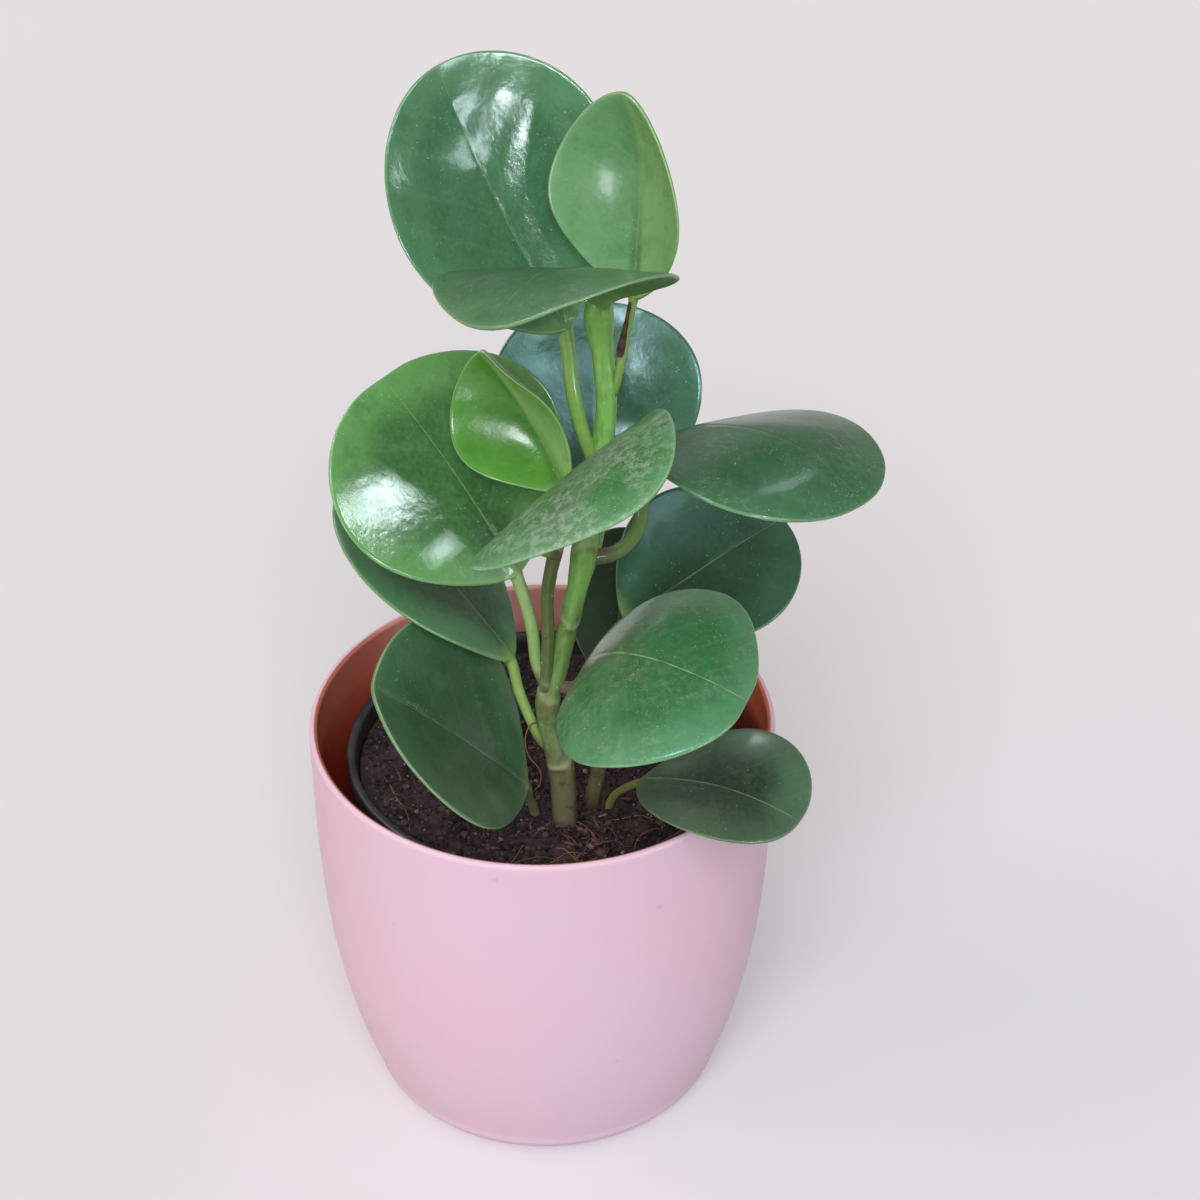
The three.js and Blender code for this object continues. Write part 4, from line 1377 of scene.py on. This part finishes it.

# the greens carry painted light and shade: leaves in shade are painted darker, and the inner green
# towards the middle of the blade is partly painted shade
LEAF_LOOKS = {
    # name: outer green, inner green, margin, midrib, dust, bloom, roughness
    "leaf_crown_left": ((88, 140, 97), (64, 114, 77), 0.35, 0.25, 0.22, 0.0, 0.19),
    "leaf_crown_young": ((110, 162, 107), (87, 142, 86), 0.75, 0.25, 0.20, 0.0, 0.30),
    "leaf_crown_front": ((78, 125, 81), (65, 111, 72), 0.55, 0.20, 0.40, 0.25, 0.38),
    "leaf_back_upper": ((66, 114, 86), (54, 100, 76), 0.25, 0.10, 0.15, 0.0, 0.18),
    "leaf_left_large": ((102, 157, 88), (62, 109, 59), 0.45, 0.35, 0.20, 0.0, 0.19),
    "leaf_left_young": ((76, 142, 44), (58, 122, 32), 1.0, 0.15, 0.03, 0.0, 0.22),
    "leaf_middle_front": ((86, 147, 91), (64, 128, 68), 0.65, 0.30, 1.0, 0.30, 0.42),
    "leaf_right_upper": ((56, 114, 68), (45, 99, 54), 0.55, 0.20, 0.48, 0.22, 0.33),
    "leaf_right_back": ((54, 100, 68), (39, 80, 50), 0.25, 0.40, 0.20, 0.0, 0.32),
    "leaf_right_front": ((86, 145, 98), (60, 119, 70), 0.35, 0.90, 0.50, 0.30, 0.28),
    "leaf_low_right": ((72, 104, 72), (31, 53, 30), 0.30, 0.50, 0.15, 0.15, 0.42),
    "leaf_left_under": ((80, 132, 86), (46, 87, 50), 0.55, 0.25, 0.20, 0.05, 0.30),
    "leaf_low_left": ((62, 105, 66), (46, 83, 47), 0.80, 0.15, 0.12, 0.10, 0.38),
    "leaf_back_low": ((40, 64, 40), (32, 52, 34), 0.20, 0.20, 0.06, 0.0, 0.4),
}
print("looks for", len(LEAF_LOOKS), "leaves")


# %% Mix one leaf's skin
STALK_COLOUR = (138, 182, 94)
STALK_COLOURS = {
    "leaf_left_large": (160, 198, 120), "leaf_right_front": (128, 100, 90),
    "leaf_low_right": (132, 140, 78), "leaf_low_left": (116, 132, 86),
    "leaf_left_under": (150, 186, 96), "leaf_right_upper": (104, 142, 72),
    "leaf_crown_young": (142, 184, 88), "leaf_crown_left": (146, 194, 94),
    "leaf_crown_front": (120, 176, 90),
}
# how brown each stalk is at its foot
FEET, FEET_DEFAULT = {"leaf_crown_front": 0.0, "leaf_crown_young": 0.35, "leaf_crown_left": 0.5}, 1.0
# how far the shaded valley reaches from the midrib, in mm, and how dark it is
VALLEYS = {
    "leaf_left_large": (13.0, 0.9), "leaf_crown_young": (3.0, 0.7), "leaf_left_young": (4.0, 0.5),
}
VALLEYS_DEFAULT = (6.0, 0.3)
# painted light: how much lighter the half to the right of the midrib is painted, where more light falls
# on it
PAINTED_LIGHT_HALVES = {"leaf_left_young": 0.9, "leaf_crown_young": 0.7}
# how high the fine wrinkles are, in metres
WRINKLES, WRINKLES_DEFAULT = {"leaf_crown_left": 0.00009, "leaf_left_large": 0.00009}, 0.00006
# one leaf of the crown has a small dry wound: its place, its size in mm and its colour
WOUNDS = {"leaf_crown_front": ((-11.8, -43.1, 299.8), 1.7, (96, 88, 60))}


def spot_mask(g, at, size):
    """A mask that is 1 at one place of the model and 0 from that many mm away."""
    away = g.node("VectorMath", {"operation": "DISTANCE"})
    g.feed(away.inputs[0], g.where())
    away.inputs[1].default_value = [c * MM for c in at]
    return g.spread(away.outputs["Value"], size * MM, size * MM * 0.3)


def leaf_skin(name, outer, inner, margin, midrib, dust, bloom, roughness):
    """The skin of one leaf and its stalk, from its row of looks."""
    material, g, shader = new_material(
        "skin_of_" + name, Roughness=roughness, Specular_IOR_Level=0.5, Subsurface_Weight=0.1,
        Subsurface_Radius=(0.7, 1.0, 0.25), Subsurface_Scale=0.0012,
        Coat_Weight=0.25, Coat_Roughness=0.12,
    )
    green, middle = paint(*outer), paint(*inner)
    lighter = (*[min(1.0, c * 1.6 + 0.03) for c in green[:3]], 1.0)
    darker = (*[c * 0.55 for c in middle[:3]], 1.0)
    along, rim = g.read("along"), g.read("margin")
    upper = g.spread(g.read("upper"), 0.4, 0.6)
    clouds, mottle = g.noise(34.0, 2.0, 0.4), g.noise(130.0, 4.0, 0.62)
    grain = g.group(CLOUDS, Scale=640.0, Low=0.3, High=0.7)

    # the upper face, from its ground colour to its margin; towards the middle it turns to the inner
    # green, which is partly the leaf's own deeper green and partly painted shade
    depth = g.plus(g.spread(rim, 0.0, 17.0), g.times(g.math("SUBTRACT", clouds, 0.5), 1.3))
    wide, strength = VALLEYS.get(name, VALLEYS_DEFAULT)
    valley = g.times(g.spread(g.read("rib"), wide, 0.6), g.spread(along, 0.7, 0.1))
    veins = g.group(VEINS, Midrib_Width=0.5)
    broken = g.group(CLOUDS, Scale=210.0, Low=0.3, High=0.62)
    line = g.times(veins["Midrib"], g.spread(broken, 0.0, 1.0, 0.35, 1.0))
    colour = g.coats(
        g.blend(g.spread(depth, 0.1, 1.1), green, middle),
        # painted light on the half to the right of the midrib
        (g.spread(g.read("across"), 0.05, -0.05), PAINTED_LIGHT_HALVES.get(name, 0.0), paint(150, 196, 126)),
        (g.spread(mottle, 0.5, 0.3), 0.3, darker),
        (g.spread(mottle, 0.52, 0.72), 0.16, lighter),
        # painted shade in the valley along the midrib
        (valley, strength, darker),
        (grain, 0.10, lighter),
        (veins["Side Veins"], 0.07, lighter),
        (g.spread(g.noise(30.0, 3.0, 0.5), 0.46, 0.68), bloom, paint(104, 106, 84)),
        (line, midrib, paint(158, 188, 130)),
        # the margin is painted lighter: partly its own paler edge, partly painted light shining through
        # its thin flesh
        (g.spread(rim, 3.0, 0.3), margin * 0.3, lighter),
        (g.spread(rim, 0.7, 0.15), margin * 0.6, paint(150, 182, 122)),
    )

    # the under face and the stalk, which is brown at its foot
    under = g.blend(0.45, g.blend(grain, paint(104, 146, 78), paint(118, 156, 90)), green)
    stalk = paint(*STALK_COLOURS.get(name, STALK_COLOUR))
    stalk = g.coats(stalk, (grain, 0.25, paint(112, 130, 76)))
    colour = g.blend(g.spread(along, 0.10, -0.05), g.blend(upper, under, colour), stalk)
    blotches = g.group(CLOUDS, Scale=240.0, Low=0.3, High=0.6)
    foot = g.times(g.spread(g.read("root"), 15.0, 3.0), g.spread(blotches, 0.0, 1.0, 0.35, 0.85))

    # dust, a thin film of lime and a wound
    specks = g.group(SPECKS, Scale=1900.0, Amount=dust * 1.3, Patchiness=0.97)
    specks = g.times(specks, upper, g.spread(along, 0.0, 0.12), 0.55)
    reach = 0.10 * dust
    lime = g.times(g.spread(g.noise(420.0, 4.0, 0.75), 0.52 - reach, 0.70 - reach),
                   g.spread(g.noise(60.0, 2.0, 0.5), 0.44 - reach, 0.64 - reach))
    film = g.times(lime, 0.5 * dust**1.6)
    colour = g.coats(
        colour, (foot, FEET.get(name, FEET_DEFAULT), paint(108, 80, 62)),
        (film, upper, paint(172, 192, 174)),
    )
    colour = g.blend(specks, colour, paint(208, 220, 206))
    if name in WOUNDS:
        at, size, dry = WOUNDS[name]
        colour = g.blend(spot_mask(g, at, size), colour, paint(*dry))
    g.feed(shader.inputs["Base Color"], colour)

    # dust, lime, smears, the under face and the stalk are duller than the waxy green
    g.feed(shader.inputs["Roughness"], g.plus(
        g.spread(clouds, 0.3, 0.7, roughness - 0.04, roughness + 0.02),
        g.times(specks, 0.3), g.times(film, 0.4),
        g.spread(g.noise(70.0, 4.0, 0.6), 0.5, 0.75, 0.0, 0.06 + dust * 0.1),
        g.times(g.math("SUBTRACT", 1.0, upper), 0.14),
        g.spread(along, 0.14, 0.02, 0.0, 0.25),
    ))
    wrinkle = WRINKLES.get(name, WRINKLES_DEFAULT)
    height = g.group(FINE_SKIN, Pore=0.00002, Wrinkle=wrinkle, Swell=0.00005)
    height = g.plus(height, g.times(specks, 0.00004))
    add_bump(g, shader, g.times(height, g.spread(along, -0.02, 0.12, 0.2, 1.0)))
    return material


SLOTS = {"leaf_crown_young": "leaf_young", "leaf_left_young": "leaf_young"}
for shaded in ("right_back", "low_right", "left_under", "low_left", "back_low"):
    SLOTS["leaf_" + shaded] = "leaf_shaded"

for name, leaf in LEAVES.items():
    points, faces, values = loft_leaf(name, leaf)
    skin, slot = leaf_skin(name, *LEAF_LOOKS[name]), SLOTS.get(name, "leaf_mature")
    make_piece(name + "_blade", points, faces, slot, skin, [name], values)
    print(name, "has", len(faces), "faces")

# %% [markdown]
# ## The aerial root and the dry sheath
# A thin root hangs from the main stem and ends in the air over the peat. The brown strip beside the
# stalk of the young crown leaf is the dried sheath that wrapped the leaf before it opened. Both are
# strands of rings, the sheath wider than it is deep.

# %% Add the aerial root and the sheath
STRAND_AROUND, STRAND_STEP = 10, 0.5
SHEATH_FLATNESS = 0.35


def strand(points, widths, flatness):
    """The skin of a strand whose radius runs through those widths, flattened by that share."""
    line, share = curve_through(points, STRAND_STEP)
    radius = np.interp(share / share[-1], np.linspace(0, 1, len(widths)), widths)
    angle = even_angles(STRAND_AROUND)
    wobble = 1 + 0.25 * plane_noise(np.cos(angle) * 2, line[:, 2:3] + np.sin(angle), 1.3)
    return skin_of(rings_on(line, radius[:, None] * wobble, STRAND_AROUND, (1, 0, 0), flatness))


ROOT_LINE = [
    (1, -27.6, 148.6), (-2.6, -28.6, 147.6), (-4.2, -31, 145), (-3.4, -33, 140), (0, -33, 134),
    (-0.3, -33, 129), (-2, -33, 126.5),
]
points, faces = strand(ROOT_LINE, (0.24, 0.2, 0.12), 1.0)
tone = {"tone": [0.45] * len(points)}
make_piece("aerial_root", points, faces, "stem_old", fibre_skin, (), tone)
SHEATH_LINE = [(22.4, -17.6, 263), (23.2, -17, 267), (24.2, -16, 272.5), (25.2, -14.9, 278)]
points, faces = strand(SHEATH_LINE, (0.9, 1.0, 0.6, 0.4), SHEATH_FLATNESS)
sheath_skin = toned_bits("dry_sheath", paint(78, 64, 46), paint(104, 88, 64), paint(134, 116, 88))
tone = {"tone": [0.5 + 0.4 * math.sin(z * 1.7) for z in points[:, 2]]}
make_piece("dry_sheath", points, faces, "stem_old", sheath_skin, (), tone)
print("added the aerial root and the sheath")

# %% [markdown]
# ## The floor
# The floor is a plain pale sheet, far wider than the view, so that no edge of it shows from any
# side. It is marked as stage, because it isn't part of the plant.

# %% Lay the floor
FLOOR_HALF = 9000
FLOOR_DROP = 0.3

corners = [(x * FLOOR_HALF, y * FLOOR_HALF, -FLOOR_DROP) for x, y in ((-1, -1), (1, -1), (1, 1), (-1, 1))]
floor = add_object("floor", new_mesh("floor", corners, [(0, 1, 2, 3)]))
material, g, shader = new_material("pale_floor", Roughness=0.9, Specular_IOR_Level=0.1)
tone = g.spread(g.noise(3.0), 0.3, 0.7)
g.feed(shader.inputs["Base Color"], g.blend(tone, paint(231, 230, 231), paint(233, 232, 233)))
floor.data.materials.append(material)
floor.visible_diffuse = False
floor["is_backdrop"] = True
print("the floor is", 2 * FLOOR_HALF * MM, "m wide")

# %% [markdown]
# ## Measure the size
# The dressed plant has to stay inside the box of the solids. How far it grows past each side of
# that box is printed.

# %% Print the growth past the solids' box
new_low, new_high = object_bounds()
growth = [round((a - b) / MM, 2) for a, b in zip((*cad_low, *new_high), (*new_low, *cad_high))]
print("growth in mm past each side of the solids' box:", growth)
